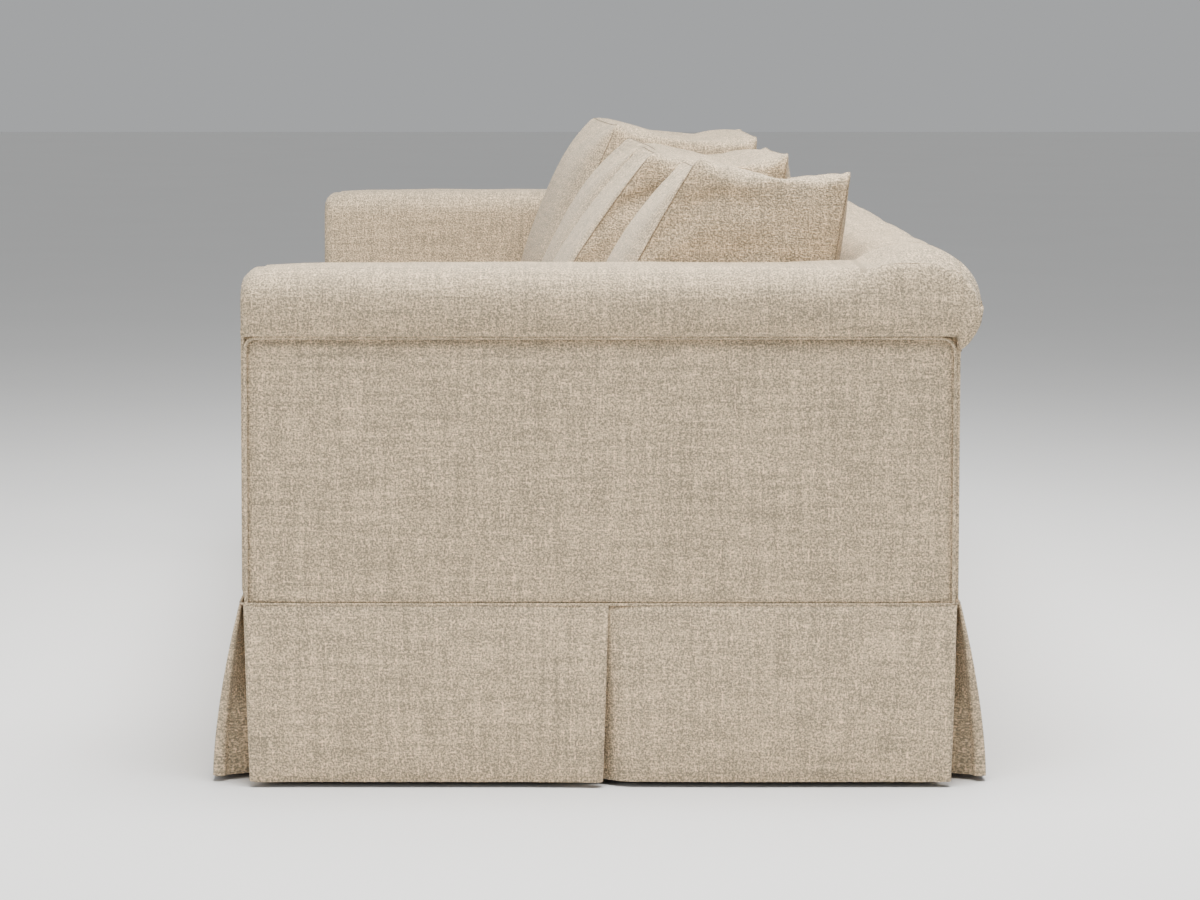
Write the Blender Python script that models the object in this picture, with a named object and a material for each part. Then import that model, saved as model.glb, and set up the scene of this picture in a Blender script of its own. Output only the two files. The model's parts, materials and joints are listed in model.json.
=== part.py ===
"""Straight two-section sofa with rolled arms, a rolled back and a pleated skirt.

Metres, +Z up. +X runs along the seats, the front faces -Y, and the floor is Z = 0
under the middle of the sofa. The two sections mirror each other, so most functions
place a piece by u, its distance outwards from the join: x = side * u.
"""
import math

import bmesh
import bpy
from mathutils import Vector

# Body
HALF_LENGTH = 1.250          # join to the face of the outside arm panel
BODY_DEPTH = 0.994           # front face to back face, without the skirt
ARM_HEIGHT = 0.7165          # floor to the top of the arms
BACK_HEIGHT = 0.742          # floor to the top of the back's roll
ARM_WIDTH = 0.170            # inner face to the outside panel
ARM_OVERHANG = 0.0195        # roll beyond the outside panel
BACK_OVERHANG = 0.030        # roll beyond the back face
ARM_ROLL_RADIUS = 0.0575
BACK_ROLL_RADIUS = 0.078
ROLL_END_ANGLE = math.radians(140)   # where the back's roll comes up out of an arm's top
ARM_INNER_ROUND = 0.045
ARM_FRONT_ROUND = 0.026
BACK_TOP_ROUND = 0.075       # height of the curve from the inner face to the top
BACK_FOOT_THICKNESS = 0.216  # back at the level of the seat deck
BACK_RAKE = math.radians(9.5)
SECTION_GAP = 0.003          # between the two sections at the join
CONTACT = 0.0003             # clearance between pieces that touch

# Padding and cloth
FACING_THICKNESS = 0.014     # front facing of an arm, front border
COVER_THICKNESS = 0.010      # outside back
ARM_PADDING = 0.018          # inner side of an arm
TOP_PADDING = 0.056          # above the frames of arm and back
PANEL_THICKNESS = 0.006
PANEL_RIM = 0.005            # facing left showing around the outside panel
BORDER_EDGE_ROUND = 0.008
CUT_MARGIN = 0.02            # how far cutters run past what they cut

# Timber frame and legs
LEG_HEIGHT = 0.130
LEG_TOP_WIDTH = 0.060
LEG_FOOT_WIDTH = 0.044
LEG_INSET = 0.010            # leg to the edge of the base
RAIL_HEIGHT = 0.160
FRONT_RAIL_THICKNESS = 0.028
BACK_RAIL_THICKNESS = 0.045
END_RAIL_THICKNESS = 0.028
FRAME_MEMBER = 0.050         # posts and rails of the arm frame
ARM_FRAME_BAYS = 4
ARM_FRAME_TIERS = 2
BACK_FRAME_THICKNESS = 0.022
BACK_FRAME_MEMBER = 0.070
BACK_FRAME_BAYS = 5
DUST_COVER_THICKNESS = 0.0015

# Seat suspension
SPRINGS_PER_SECTION = 4
SPRING_WIRE_RADIUS = 0.002
SPRING_BENDS = 18
SPRING_HALF_WIDTH = 0.024
SPRING_SEAT = 0.012          # length of wire that lies on each rail
DECK_THICKNESS = 0.030

# Connectors at the join
PLATE_THICKNESS = 0.004
PLATE_WIDTH = 0.050
PLATE_LENGTH = 0.070         # plate along its own rail
CONNECTOR_OFFSET = 0.280     # from the middle of the depth
PIN_RADIUS = 0.006
PIN_LENGTH = 0.024
PIN_CLEARANCE = 0.001
PIN_DISTANCE = 0.030         # pin axis from the join

# Cushions
SEATS_PER_SECTION = 2
CUSHION_GAP = 0.004          # between neighbours
SEAT_BOXING = 0.165          # height of the sewn side strip
SEAT_CROWN = 0.014
SEAT_FRONT_SETBACK = 0.006
SEAT_FRONT_BULGE = 0.012
SEAT_DRAW_IN = 0.006         # sides between the corners
BACK_CUSHION_CLEARANCE = 0.005
BACK_CUSHION_DRAW_IN = 0.006
BACK_CUSHION_SAG = 0.013     # top seam between its corners

# Each back cushion as it was left: distance forward of the back, thickness at its top and at its foot,
# crown of its front, and height of its front and rear top seams
BACK_CUSHION_STANCE = {
    ("left", "outer"): (0.032, 0.264, 0.355, 0.064, 0.361, 0.345),
    ("left", "inner"): (0.032, 0.240, 0.352, 0.050, 0.341, 0.341),
    ("right", "inner"): (0.054, 0.213, 0.344, 0.043, 0.338, 0.343),
    ("right", "outer"): (0.003, 0.218, 0.344, 0.043, 0.348, 0.340),
}

# Skirt
SKIRT_TOP = 0.254
SKIRT_HEM = 0.008
SKIRT_FLARE = 0.0405         # cloth at the hem beyond the faces of the body
SKIRT_CLOTH = 0.003          # lined and interlined
PLEAT_GAP = 0.0042           # between the layers of a pleat at the seam
PLEAT_DEPTH = 0.055          # cloth folded under at a pleat
PLEAT_OPENING = 0.008        # between the layers of a pleat at the hem
PLEAT_RAMP = 0.110           # run over which a panel settles beside a pleat
CORNER_RETURN = 0.072        # cloth turned in at a corner
CORNER_EDGE_SETBACK = 0.003  # panel edge from the corner, at the seam
END_HEM_TAPER = 0.010        # end panels narrow towards the hem
LONG_HEM_SPREAD = 0.003      # front and back panels widen towards the hem
SKIRT_CURVE = 1.6            # the cloth leaves the seam fast and hangs straight below
SKIRT_ROWS = (0.0, 0.12, 0.45, 1.0)

# Levels and planes that follow from the sizes
FRONT_FACE = -BODY_DEPTH / 2
BACK_FACE = BODY_DEPTH / 2
ARM_INNER = HALF_LENGTH - ARM_WIDTH
JOIN_FACE = SECTION_GAP / 2
RAIL_TOP = LEG_HEIGHT + RAIL_HEIGHT
SPRING_LEVEL = RAIL_TOP + CONTACT + SPRING_WIRE_RADIUS
DECK_BOTTOM = SPRING_LEVEL + SPRING_WIRE_RADIUS + CONTACT
DECK_TOP = DECK_BOTTOM + DECK_THICKNESS
SEAT_BOTTOM = DECK_TOP + CONTACT
SEAT_TOP = SEAT_BOTTOM + SEAT_BOXING + SEAT_CROWN
FRAME_TOP = ARM_HEIGHT - TOP_PADDING
ARM_ROLL_Z = ARM_HEIGHT - ARM_ROLL_RADIUS
ARM_ROLL_U = HALF_LENGTH + ARM_OVERHANG - ARM_ROLL_RADIUS
BACK_ROLL_Z = BACK_HEIGHT - BACK_ROLL_RADIUS
BACK_ROLL_Y = BACK_FACE + BACK_OVERHANG - BACK_ROLL_RADIUS
PANEL_BACK = HALF_LENGTH - PANEL_THICKNESS
RECESS_FACE = PANEL_BACK - CONTACT
RAIL_FRONT = FRONT_FACE + FACING_THICKNESS + CONTACT
RAIL_BACK = BACK_FACE - COVER_THICKNESS - CONTACT
BACK_FRAME_FRONT = RAIL_BACK - BACK_FRAME_THICKNESS
ARM_FRAME_INNER = ARM_INNER + ARM_PADDING + CONTACT
SLOT_WIDTH = (ARM_INNER - JOIN_FACE) / SEATS_PER_SECTION

SIDES = {"left": -1, "right": 1}
SLOTS = ("inner", "outer")


def back_inner_face(z):
    """Y of the raked inner face of the back at height z."""
    return BACK_FACE - BACK_FOOT_THICKNESS + (z - DECK_TOP) * math.tan(BACK_RAKE)


def roll_meets_face(radius, overhang):
    """Angle below the horizontal at which a roll reaches the flat face under it."""
    return math.acos((radius - overhang) / radius)


ARM_SEAM_ANGLE = roll_meets_face(ARM_ROLL_RADIUS, ARM_OVERHANG)
BACK_SEAM_ANGLE = roll_meets_face(BACK_ROLL_RADIUS, BACK_OVERHANG)
ARM_SEAM_Z = ARM_ROLL_Z - ARM_ROLL_RADIUS * math.sin(ARM_SEAM_ANGLE)


def material(name, colour, roughness, metallic=0.0):
    """Principled material with one colour."""
    made = bpy.data.materials.new(name)
    made.use_nodes = True
    shader = made.node_tree.nodes["Principled BSDF"]
    shader.inputs["Base Color"].default_value = (*colour, 1.0)
    shader.inputs["Roughness"].default_value = roughness
    shader.inputs["Metallic"].default_value = metallic
    made.diffuse_color = (*colour, 1.0)
    return made


def finish(name, bm, surface, parent=None, location=(0.0, 0.0, 0.0)):
    """Turn a bmesh into a named, smooth-shaded object with outward faces."""
    bmesh.ops.recalc_face_normals(bm, faces=bm.faces)
    mesh = bpy.data.meshes.new(name)
    bm.to_mesh(mesh)
    bm.free()
    mesh.materials.append(surface)
    mesh.shade_smooth()
    mesh.set_sharp_from_angle(angle=math.radians(32))
    made = bpy.data.objects.new(name, mesh)
    bpy.context.scene.collection.objects.link(made)
    made.location = location
    made.parent = parent
    return made


def arc(centre, radius, start, end, steps):
    """Points of a circular arc, angles in radians."""
    points = []
    for step in range(steps + 1):
        angle = start + (end - start) * step / steps
        points.append((centre[0] + radius * math.cos(angle), centre[1] + radius * math.sin(angle)))
    return points


def bezier(p0, p1, p2, p3, steps):
    """Points of a cubic curve, ends included."""
    points = []
    for step in range(steps + 1):
        t = step / steps
        weights = ((1 - t) ** 3, 3 * t * (1 - t) ** 2, 3 * t * t * (1 - t), t ** 3)
        points.append(tuple(sum(w * p[i] for w, p in zip(weights, (p0, p1, p2, p3))) for i in (0, 1)))
    return points


def prism(outline, place, start, end):
    """Closed solid: a flat outline carried from start to end. place(a, b, along) gives the point."""
    bm = bmesh.new()
    face = bm.faces.new([bm.verts.new(place(a, b, start)) for a, b in outline])
    shift = Vector(place(0, 0, end)) - Vector(place(0, 0, start))
    made = bmesh.ops.extrude_face_region(bm, geom=[face], use_keep_orig=True)
    moved = [item for item in made["geom"] if isinstance(item, bmesh.types.BMVert)]
    bmesh.ops.translate(bm, verts=moved, vec=shift)
    return bm


def block(low, high):
    """Rectangular solid between two corners."""
    outline = [(low[0], low[1]), (high[0], low[1]), (high[0], high[1]), (low[0], high[1])]
    return prism(outline, lambda a, b, along: (a, b, along), low[2], high[2])


def side_block(side, u_range, y_range, z_range):
    """Block placed by its distance from the join."""
    x_range = sorted(side * u for u in u_range)
    return block((x_range[0], y_range[0], z_range[0]), (x_range[1], y_range[1], z_range[1]))


def cutter(name, bm, surface):
    """Hidden object that shapes another one."""
    made = finish(name, bm, surface)
    made.hide_render = True
    made.display_type = "WIRE"
    return made


def shape_with(target, tool, operation):
    """Boolean between an object and a cutter."""
    change = target.modifiers.new(tool.name, "BOOLEAN")
    change.operation = operation
    change.solver = "EXACT"
    change.object = tool


def loft(loops):
    """Closed skin over rings of equal length, with a fan at each end."""
    bm = bmesh.new()
    rings = [[bm.verts.new(point) for point in ring] for ring in loops]
    count = len(rings[0])
    for ring, following in zip(rings, rings[1:]):
        for i in range(count):
            j = (i + 1) % count
            bm.faces.new((ring[i], ring[j], following[j], following[i]))
    for ring in (rings[0], rings[-1]):
        middle = bm.verts.new(sum((v.co for v in ring), Vector()) / count)
        for i in range(count):
            bm.faces.new((ring[i], ring[(i + 1) % count], middle))
    return bm


def bar_edges(start, end, width, bays):
    """Start and end of each bar where bays openings lie between equal bars."""
    pitch = (end - start - width) / bays
    return [(start + pitch * i, start + pitch * i + width) for i in range(bays + 1)]


def ladder(posts, rails, place, start, end):
    """One-piece frame of posts and rails with open bays, of even thickness."""
    across = sorted({edge for post in posts for edge in post})
    up = sorted({edge for rail in rails for edge in rail})
    bm = bmesh.new()
    corners = {(a, b): bm.verts.new(place(a, b, start)) for a in across for b in up}
    faces = []
    for a0, a1 in zip(across, across[1:]):
        for b0, b1 in zip(up, up[1:]):
            if (a0, a1) in posts or (b0, b1) in rails:
                faces.append(bm.faces.new([corners[p] for p in ((a0, b0), (a1, b0), (a1, b1), (a0, b1))]))
    shift = Vector(place(0, 0, end)) - Vector(place(0, 0, start))
    made = bmesh.ops.extrude_face_region(bm, geom=faces, use_keep_orig=True)
    moved = [item for item in made["geom"] if isinstance(item, bmesh.types.BMVert)]
    bmesh.ops.translate(bm, verts=moved, vec=shift)
    return bm


# Timber base

def base_rails(section, side, parent, wood):
    """Front, back and end rail of the seat base."""
    levels = (LEG_HEIGHT, RAIL_TOP)
    run = (JOIN_FACE, ARM_INNER + ARM_PADDING)
    front_end = RAIL_FRONT + FRONT_RAIL_THICKNESS
    back_start = RAIL_BACK - BACK_RAIL_THICKNESS
    finish(f"{section}_front_rail", side_block(side, run, (RAIL_FRONT, front_end), levels), wood, parent)
    finish(f"{section}_back_rail", side_block(side, run, (back_start, RAIL_BACK), levels), wood, parent)
    end_run = (JOIN_FACE, JOIN_FACE + END_RAIL_THICKNESS)
    between = (front_end + CONTACT, back_start - CONTACT)
    finish(f"{section}_end_rail", side_block(side, end_run, between, levels), wood, parent)


def arm_frame(section, side, parent, wood):
    """Open timber frame inside the arm."""
    posts = bar_edges(RAIL_FRONT, RAIL_BACK, FRAME_MEMBER, ARM_FRAME_BAYS)
    rails = bar_edges(LEG_HEIGHT, FRAME_TOP, FRAME_MEMBER, ARM_FRAME_TIERS)
    body = ladder(posts, rails, lambda y, z, u: (side * u, y, z), ARM_FRAME_INNER, RECESS_FACE - CONTACT)
    finish(f"{section}_arm_frame", body, wood, parent)


def back_frame(section, side, parent, wood):
    """Open timber frame that stands on the back rail inside the padding."""
    posts = bar_edges(JOIN_FACE, ARM_INNER - CONTACT, BACK_FRAME_MEMBER, BACK_FRAME_BAYS)
    rails = bar_edges(RAIL_TOP + CONTACT, FRAME_TOP, BACK_FRAME_MEMBER, 1)
    body = ladder(posts, rails, lambda u, z, y: (side * u, y, z), BACK_FRAME_FRONT, RAIL_BACK)
    finish(f"{section}_back_frame", body, wood, parent)


def legs(section, side, parent, wood):
    """Four tapered legs under the corners of the section."""
    half_top = LEG_TOP_WIDTH / 2
    half_foot = LEG_FOOT_WIDTH / 2
    u_places = {"join": JOIN_FACE + LEG_INSET + half_top, "arm": HALF_LENGTH - LEG_INSET - LEG_TOP_WIDTH}
    y_places = {"front": RAIL_FRONT + half_top, "back": RAIL_BACK - half_top}
    for u_name, u in u_places.items():
        for y_name, y in y_places.items():
            rings = []
            for level, half in ((0.0, half_foot), (LEG_HEIGHT - CONTACT, half_top)):
                corners = ((-half, -half), (half, -half), (half, half), (-half, half))
                rings.append([(a, b, level) for a, b in corners])
            finish(f"{section}_leg_{y_name}_{u_name}", loft(rings), wood, parent, (side * u, y, 0.0))


# Seat suspension

def springs(section, side, parent, steel):
    """Zigzag wires from the front rail to the back rail."""
    start = RAIL_FRONT + FRONT_RAIL_THICKNESS - SPRING_SEAT
    end = RAIL_BACK - BACK_RAIL_THICKNESS + SPRING_SEAT
    pitch = (end - start) / SPRING_BENDS
    first = JOIN_FACE + END_RAIL_THICKNESS
    spacing = (ARM_INNER - first) / SPRINGS_PER_SECTION
    for number in range(SPRINGS_PER_SECTION):
        u = first + spacing * (number + 0.5)
        points = []
        for bend in range(SPRING_BENDS):
            offset = SPRING_HALF_WIDTH if bend % 2 else -SPRING_HALF_WIDTH
            points.append((side * u + offset, start + pitch * bend))
            points.append((side * u + offset, start + pitch * (bend + 1)))
        curve = bpy.data.curves.new(f"{section}_spring_{number + 1}", "CURVE")
        curve.dimensions = "3D"
        curve.bevel_depth = SPRING_WIRE_RADIUS
        curve.bevel_resolution = 0
        curve.use_fill_caps = True
        wire = curve.splines.new("POLY")
        wire.points.add(len(points) - 1)
        for point, (x, y) in zip(wire.points, points):
            point.co = (x, y, SPRING_LEVEL, 1.0)
        curve.materials.append(steel)
        made = bpy.data.objects.new(curve.name, curve)
        bpy.context.scene.collection.objects.link(made)
        made.parent = parent


def seat_deck(section, side, parent, cloth):
    """Padded platform over the springs."""
    run = (JOIN_FACE, ARM_INNER - CONTACT)
    depth = (RAIL_FRONT, BACK_FRAME_FRONT - CONTACT)
    finish(f"{section}_seat_deck", side_block(side, run, depth, (DECK_BOTTOM, DECK_TOP)), cloth, parent)


def dust_cover(section, side, parent, cloth):
    """Thin cloth that closes the base from below."""
    run = (JOIN_FACE + END_RAIL_THICKNESS + CONTACT, ARM_INNER + ARM_PADDING)
    depth = (
        RAIL_FRONT + FRONT_RAIL_THICKNESS + CONTACT,
        RAIL_BACK - BACK_RAIL_THICKNESS - CONTACT,
    )
    levels = (LEG_HEIGHT, LEG_HEIGHT + DUST_COVER_THICKNESS)
    finish(f"{section}_dust_cover", side_block(side, run, depth, levels), cloth, parent)


# Upholstered body

def front_border(section, side, parent, linen):
    """Padded strip on the front rail, rounded at its top edge."""
    rounded = arc(
        (FRONT_FACE + BORDER_EDGE_ROUND, DECK_TOP - BORDER_EDGE_ROUND),
        BORDER_EDGE_ROUND, math.pi, math.pi / 2, 4,
    )
    inner = FRONT_FACE + FACING_THICKNESS
    outline = [(FRONT_FACE, LEG_HEIGHT), *rounded, (inner, DECK_TOP), (inner, LEG_HEIGHT)]
    body = prism(outline, lambda y, z, u: (side * u, y, z), JOIN_FACE, ARM_INNER - CONTACT)
    finish(f"{section}_front_border", body, linen, parent)


def arm_cover(section, side, parent, linen):
    """Padded roll arm, hollow for its frame: front and side profiles meet, and the back's roll ends it."""
    inner_centre = (ARM_INNER + ARM_INNER_ROUND, ARM_HEIGHT - ARM_INNER_ROUND)
    front_outline = [
        (ARM_INNER, LEG_HEIGHT),
        *arc(inner_centre, ARM_INNER_ROUND, math.pi, math.pi / 2, 5),
        *arc((ARM_ROLL_U, ARM_ROLL_Z), ARM_ROLL_RADIUS, math.pi / 2, -ARM_SEAM_ANGLE, 10),
        (HALF_LENGTH, LEG_HEIGHT),
    ]
    corner = (FRONT_FACE + ARM_FRONT_ROUND, ARM_HEIGHT - ARM_FRONT_ROUND)
    side_outline = [
        (FRONT_FACE, LEG_HEIGHT),
        *arc(corner, ARM_FRONT_ROUND, math.pi, math.pi / 2, 4),
        (BACK_FACE, ARM_HEIGHT),
        (BACK_FACE, LEG_HEIGHT),
    ]
    ends = (FRONT_FACE - CUT_MARGIN, BACK_FACE + BACK_OVERHANG + CUT_MARGIN)
    widths = (ARM_INNER - CUT_MARGIN, HALF_LENGTH + ARM_OVERHANG + CUT_MARGIN)
    lengthwise = prism(front_outline, lambda u, z, y: (side * u, y, z), *ends)
    cover = finish(f"{section}_arm_cover", lengthwise, linen, parent)
    crosswise = prism(side_outline, lambda y, z, u: (side * u, y, z), *widths)
    shape_with(cover, cutter(f"{section}_arm_side_profile", crosswise, linen), "INTERSECT")
    roll_end = arc((BACK_ROLL_Y, BACK_ROLL_Z), BACK_ROLL_RADIUS, ROLL_END_ANGLE, -BACK_SEAM_ANGLE, 14)
    roll_end.append((roll_end[0][0], ARM_SEAM_Z + PANEL_RIM))
    facing = prism(roll_end, lambda y, z, u: (side * u, y, z), ARM_INNER, HALF_LENGTH + ARM_OVERHANG)
    shape_with(cover, cutter(f"{section}_arm_roll_end", facing, linen), "UNION")

    below = LEG_HEIGHT - CUT_MARGIN
    hollow_outline = [
        (ARM_INNER - CUT_MARGIN, below),
        (PANEL_BACK, below),
        (PANEL_BACK, FRAME_TOP + CONTACT),
        (ARM_INNER + ARM_PADDING, FRAME_TOP + CONTACT),
        (ARM_INNER + ARM_PADDING, RAIL_TOP + CONTACT),
        (ARM_INNER - CUT_MARGIN, RAIL_TOP + CONTACT),
    ]
    hollow = prism(
        hollow_outline, lambda u, z, y: (side * u, y, z),
        FRONT_FACE + FACING_THICKNESS, BACK_FACE - COVER_THICKNESS,
    )
    shape_with(cover, cutter(f"{section}_arm_hollow", hollow, linen), "DIFFERENCE")
    recess = side_block(
        side, (RECESS_FACE, HALF_LENGTH + CUT_MARGIN),
        (FRONT_FACE + PANEL_RIM, BACK_FACE - PANEL_RIM), (below, ARM_SEAM_Z),
    )
    shape_with(cover, cutter(f"{section}_panel_recess", recess, linen), "DIFFERENCE")


def outside_arm_panel(section, side, parent, linen):
    """Flat inset panel below the roll."""
    depth = (FRONT_FACE + PANEL_RIM + CONTACT, BACK_FACE - PANEL_RIM - CONTACT)
    levels = (LEG_HEIGHT, ARM_SEAM_Z - CONTACT)
    panel = side_block(side, (PANEL_BACK, HALF_LENGTH), depth, levels)
    finish(f"{section}_outside_arm_panel", panel, linen, parent)


def back_cover(section, side, parent, linen):
    """Raked back with a roll along its top, slipped over the back frame."""
    foot = DECK_TOP + CONTACT
    curve_start = BACK_HEIGHT - BACK_TOP_ROUND
    lean = math.tan(BACK_RAKE)
    start = (back_inner_face(curve_start), curve_start)
    lift = BACK_TOP_ROUND * 0.6
    over = bezier(
        start, (start[0] + lift * lean, start[1] + lift),
        (start[0] + (BACK_ROLL_Y - start[0]) * 0.4, BACK_HEIGHT), (BACK_ROLL_Y, BACK_HEIGHT), 7,
    )
    roll = arc((BACK_ROLL_Y, BACK_ROLL_Z), BACK_ROLL_RADIUS, math.pi / 2, -BACK_SEAM_ANGLE, 10)
    hollow_front = BACK_FRAME_FRONT - CONTACT
    hollow_back = BACK_FACE - COVER_THICKNESS
    outline = [
        (back_inner_face(foot), foot),
        *over,
        *roll[1:],
        (BACK_FACE, LEG_HEIGHT),
        (hollow_back, LEG_HEIGHT),
        (hollow_back, FRAME_TOP + CONTACT),
        (hollow_front, FRAME_TOP + CONTACT),
        (hollow_front, foot),
    ]
    body = prism(outline, lambda y, z, u: (side * u, y, z), JOIN_FACE, ARM_INNER - CONTACT)
    finish(f"{section}_back_cover", body, linen, parent)


# Skirt

def hem_mix(row):
    """Share of the flare reached at a row between seam (0) and hem (1)."""
    return 1 - (1 - row) ** SKIRT_CURVE


def sheet(path, place):
    """Solid cloth from a plan path of (seam s, seam n, hem s, hem n); place(s, n, z) gives the point."""
    rings = []
    for row in SKIRT_ROWS:
        level = SKIRT_TOP + (SKIRT_HEM - SKIRT_TOP) * row
        mix = hem_mix(row)
        line = [Vector((s0 + (s1 - s0) * row, n0 + (n1 - n0) * mix)) for s0, n0, s1, n1 in path]
        near = []
        far = []
        for i, point in enumerate(line):
            before = (point - line[i - 1]).normalized() if i > 0 else None
            after = (line[i + 1] - point).normalized() if i + 1 < len(line) else None
            along = ((before or after) + (after or before)).normalized()
            normal = Vector((-along.y, along.x))
            straight = after or before
            reach = SKIRT_CLOTH / 2 / max(0.6, abs(normal.dot(Vector((-straight.y, straight.x)))))
            near.append(place(*(point + normal * reach), level))
            far.append(place(*(point - normal * reach), level))
        rings.append((near, far))
    bm = bmesh.new()
    sides = [[[bm.verts.new(p) for p in half] for half in ring] for ring in rings]
    count = len(path)
    for (near, far), (near_below, far_below) in zip(sides, sides[1:]):
        for i in range(count - 1):
            bm.faces.new((near[i], near[i + 1], near_below[i + 1], near_below[i]))
            bm.faces.new((far[i], far[i + 1], far_below[i + 1], far_below[i]))
        for i in (0, count - 1):
            bm.faces.new((near[i], far[i], far_below[i], near_below[i]))
    for near, far in (sides[0], sides[-1]):
        for i in range(count - 1):
            bm.faces.new((near[i], near[i + 1], far[i + 1], far[i]))
    return bm


LAYER_0 = CONTACT + SKIRT_CLOTH / 2
LAYER_1 = LAYER_0 + PLEAT_GAP
LAYER_2 = LAYER_1 + PLEAT_GAP


def corner_edge(seam_s, hem_s, way):
    """Cloth turned in at a corner; way is +1 where the panel runs on towards larger s."""
    fold = PLEAT_GAP / 2
    return [
        (seam_s + way * CORNER_RETURN, LAYER_0, hem_s + way * CORNER_RETURN, LAYER_0),
        (seam_s, LAYER_0, hem_s + way * fold, SKIRT_FLARE - 2 * fold),
        (seam_s - way * fold, LAYER_0 + fold, hem_s, SKIRT_FLARE - fold),
        (seam_s, LAYER_1, hem_s + way * fold, SKIRT_FLARE),
    ]


def pleat(s):
    """Knife pleat at s: the panel before it laps over the panel after it."""
    seam_fold = PLEAT_GAP / 2
    hem_fold = PLEAT_OPENING / 2
    outer = SKIRT_FLARE + PLEAT_OPENING / 2
    middle = outer - PLEAT_OPENING
    inner = middle - PLEAT_OPENING
    under = s - PLEAT_DEPTH
    return [
        (s - PLEAT_RAMP, LAYER_1, s - PLEAT_RAMP, SKIRT_FLARE),
        (s, LAYER_2, s, outer),
        (s + seam_fold, LAYER_1 + seam_fold, s + hem_fold, outer - hem_fold),
        (s, LAYER_1, s, middle),
        (under, LAYER_1, under, middle),
        (under - seam_fold, LAYER_1 - seam_fold, under - hem_fold, middle - hem_fold),
        (under, LAYER_0, under, inner),
        (s + seam_fold, LAYER_0, s + hem_fold, inner),
        (s + PLEAT_RAMP, LAYER_1, s + PLEAT_RAMP, SKIRT_FLARE),
    ]


def end_skirt(section, side, parent, linen):
    """Skirt across the end, with one pleat in the middle and a turned-in edge at each corner."""
    front = FRONT_FACE + CORNER_EDGE_SETBACK
    back = BACK_FACE - CORNER_EDGE_SETBACK
    path = [
        *corner_edge(front, front + END_HEM_TAPER, 1),
        *pleat(0.0),
        *reversed(corner_edge(back, back - END_HEM_TAPER, -1)),
    ]
    body = sheet(path, lambda s, n, z: (side * (HALF_LENGTH + n), s, z))
    finish(f"{section}_skirt_end", body, linen, parent)


def long_skirt(section, side, parent, linen, which):
    """Skirt along the front or the back, from the join to the arm's corner."""
    face, way = (FRONT_FACE, -1) if which == "front" else (BACK_FACE, 1)
    corner = HALF_LENGTH - CORNER_EDGE_SETBACK
    path = [
        (JOIN_FACE, LAYER_1, JOIN_FACE, SKIRT_FLARE),
        *pleat((JOIN_FACE + HALF_LENGTH) / 2),
        *reversed(corner_edge(corner, corner + LONG_HEM_SPREAD, -1)),
    ]
    body = sheet(path, lambda s, n, z: (side * s, face + way * n, z))
    finish(f"{section}_skirt_{which}", body, linen, parent)


# Connectors at the join

def connector(section, side, parent, steel, which):
    """Left: joggled plate with a hole, reaching under the right section. Right: plate with a pin."""
    middle_y = CONNECTOR_OFFSET if which == "back" else -CONNECTOR_OFFSET
    top = LEG_HEIGHT - CONTACT
    edges = (middle_y - PLATE_WIDTH / 2, middle_y + PLATE_WIDTH / 2)
    name = f"{section}_connector_{which}"
    if section == "right":
        plate = finish(name, side_block(side, (JOIN_FACE, PLATE_LENGTH), edges, (top - PLATE_THICKNESS, top)),
                       steel, parent)
        pin = bmesh.new()
        bmesh.ops.create_cone(pin, cap_ends=True, segments=16, radius1=PIN_RADIUS, radius2=PIN_RADIUS,
                              depth=PIN_LENGTH)
        centre = (PIN_DISTANCE, middle_y, top - PLATE_THICKNESS / 2 - PIN_LENGTH / 2)
        bmesh.ops.translate(pin, verts=pin.verts, vec=centre)
        shape_with(plate, cutter(f"{name}_pin", pin, steel), "UNION")
        return
    low = top - PLATE_THICKNESS - CONTACT
    outline = [
        (-PLATE_LENGTH, top), (-JOIN_FACE, top), (-JOIN_FACE, low), (2 * PIN_DISTANCE, low),
        (2 * PIN_DISTANCE, low - PLATE_THICKNESS), (-JOIN_FACE - PLATE_THICKNESS, low - PLATE_THICKNESS),
        (-JOIN_FACE - PLATE_THICKNESS, top - PLATE_THICKNESS), (-PLATE_LENGTH, top - PLATE_THICKNESS),
    ]
    plate = finish(name, prism(outline, lambda x, z, y: (x, y, z), *edges), steel, parent)
    hole = bmesh.new()
    bmesh.ops.create_cone(hole, cap_ends=True, segments=16, radius1=PIN_RADIUS + PIN_CLEARANCE,
                          radius2=PIN_RADIUS + PIN_CLEARANCE, depth=PIN_LENGTH)
    bmesh.ops.translate(hole, verts=hole.verts, vec=(PIN_DISTANCE, middle_y, low - PLATE_THICKNESS / 2))
    shape_with(plate, cutter(f"{name}_hole", hole, steel), "DIFFERENCE")


# Cushions

STATIONS = (-1.0, -0.94, -0.75, -0.4, 0.0, 0.4, 0.75, 0.94, 1.0)


def plateau(value):
    """Full in the middle, nothing at the seams."""
    return 1 - abs(value) ** 3


def slot_middle(slot):
    """u of the middle of a seat."""
    return JOIN_FACE + SLOT_WIDTH * (SLOTS.index(slot) + 0.5)


def end_rings(ring, sink):
    """Rings that close a cushion's end: the middle of the boxing lies a little inside its seam."""
    middle = sum((Vector(p) for p in ring), Vector()) / len(ring)
    inner = [middle + (Vector(p) - middle) * 0.55 for p in ring]
    return [(p.x + sink, p.y, p.z) for p in inner]


def cushion(name, ring_at, half_width, sink, parent, linen, location):
    """Skin over rings across the width, with drawn-in ends."""
    rings = [ring_at(station) for station in STATIONS]
    rings.insert(0, end_rings(rings[0], sink))
    rings.append(end_rings(rings[-1], -sink))
    finish(name, loft(rings), linen, parent, location)


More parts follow.
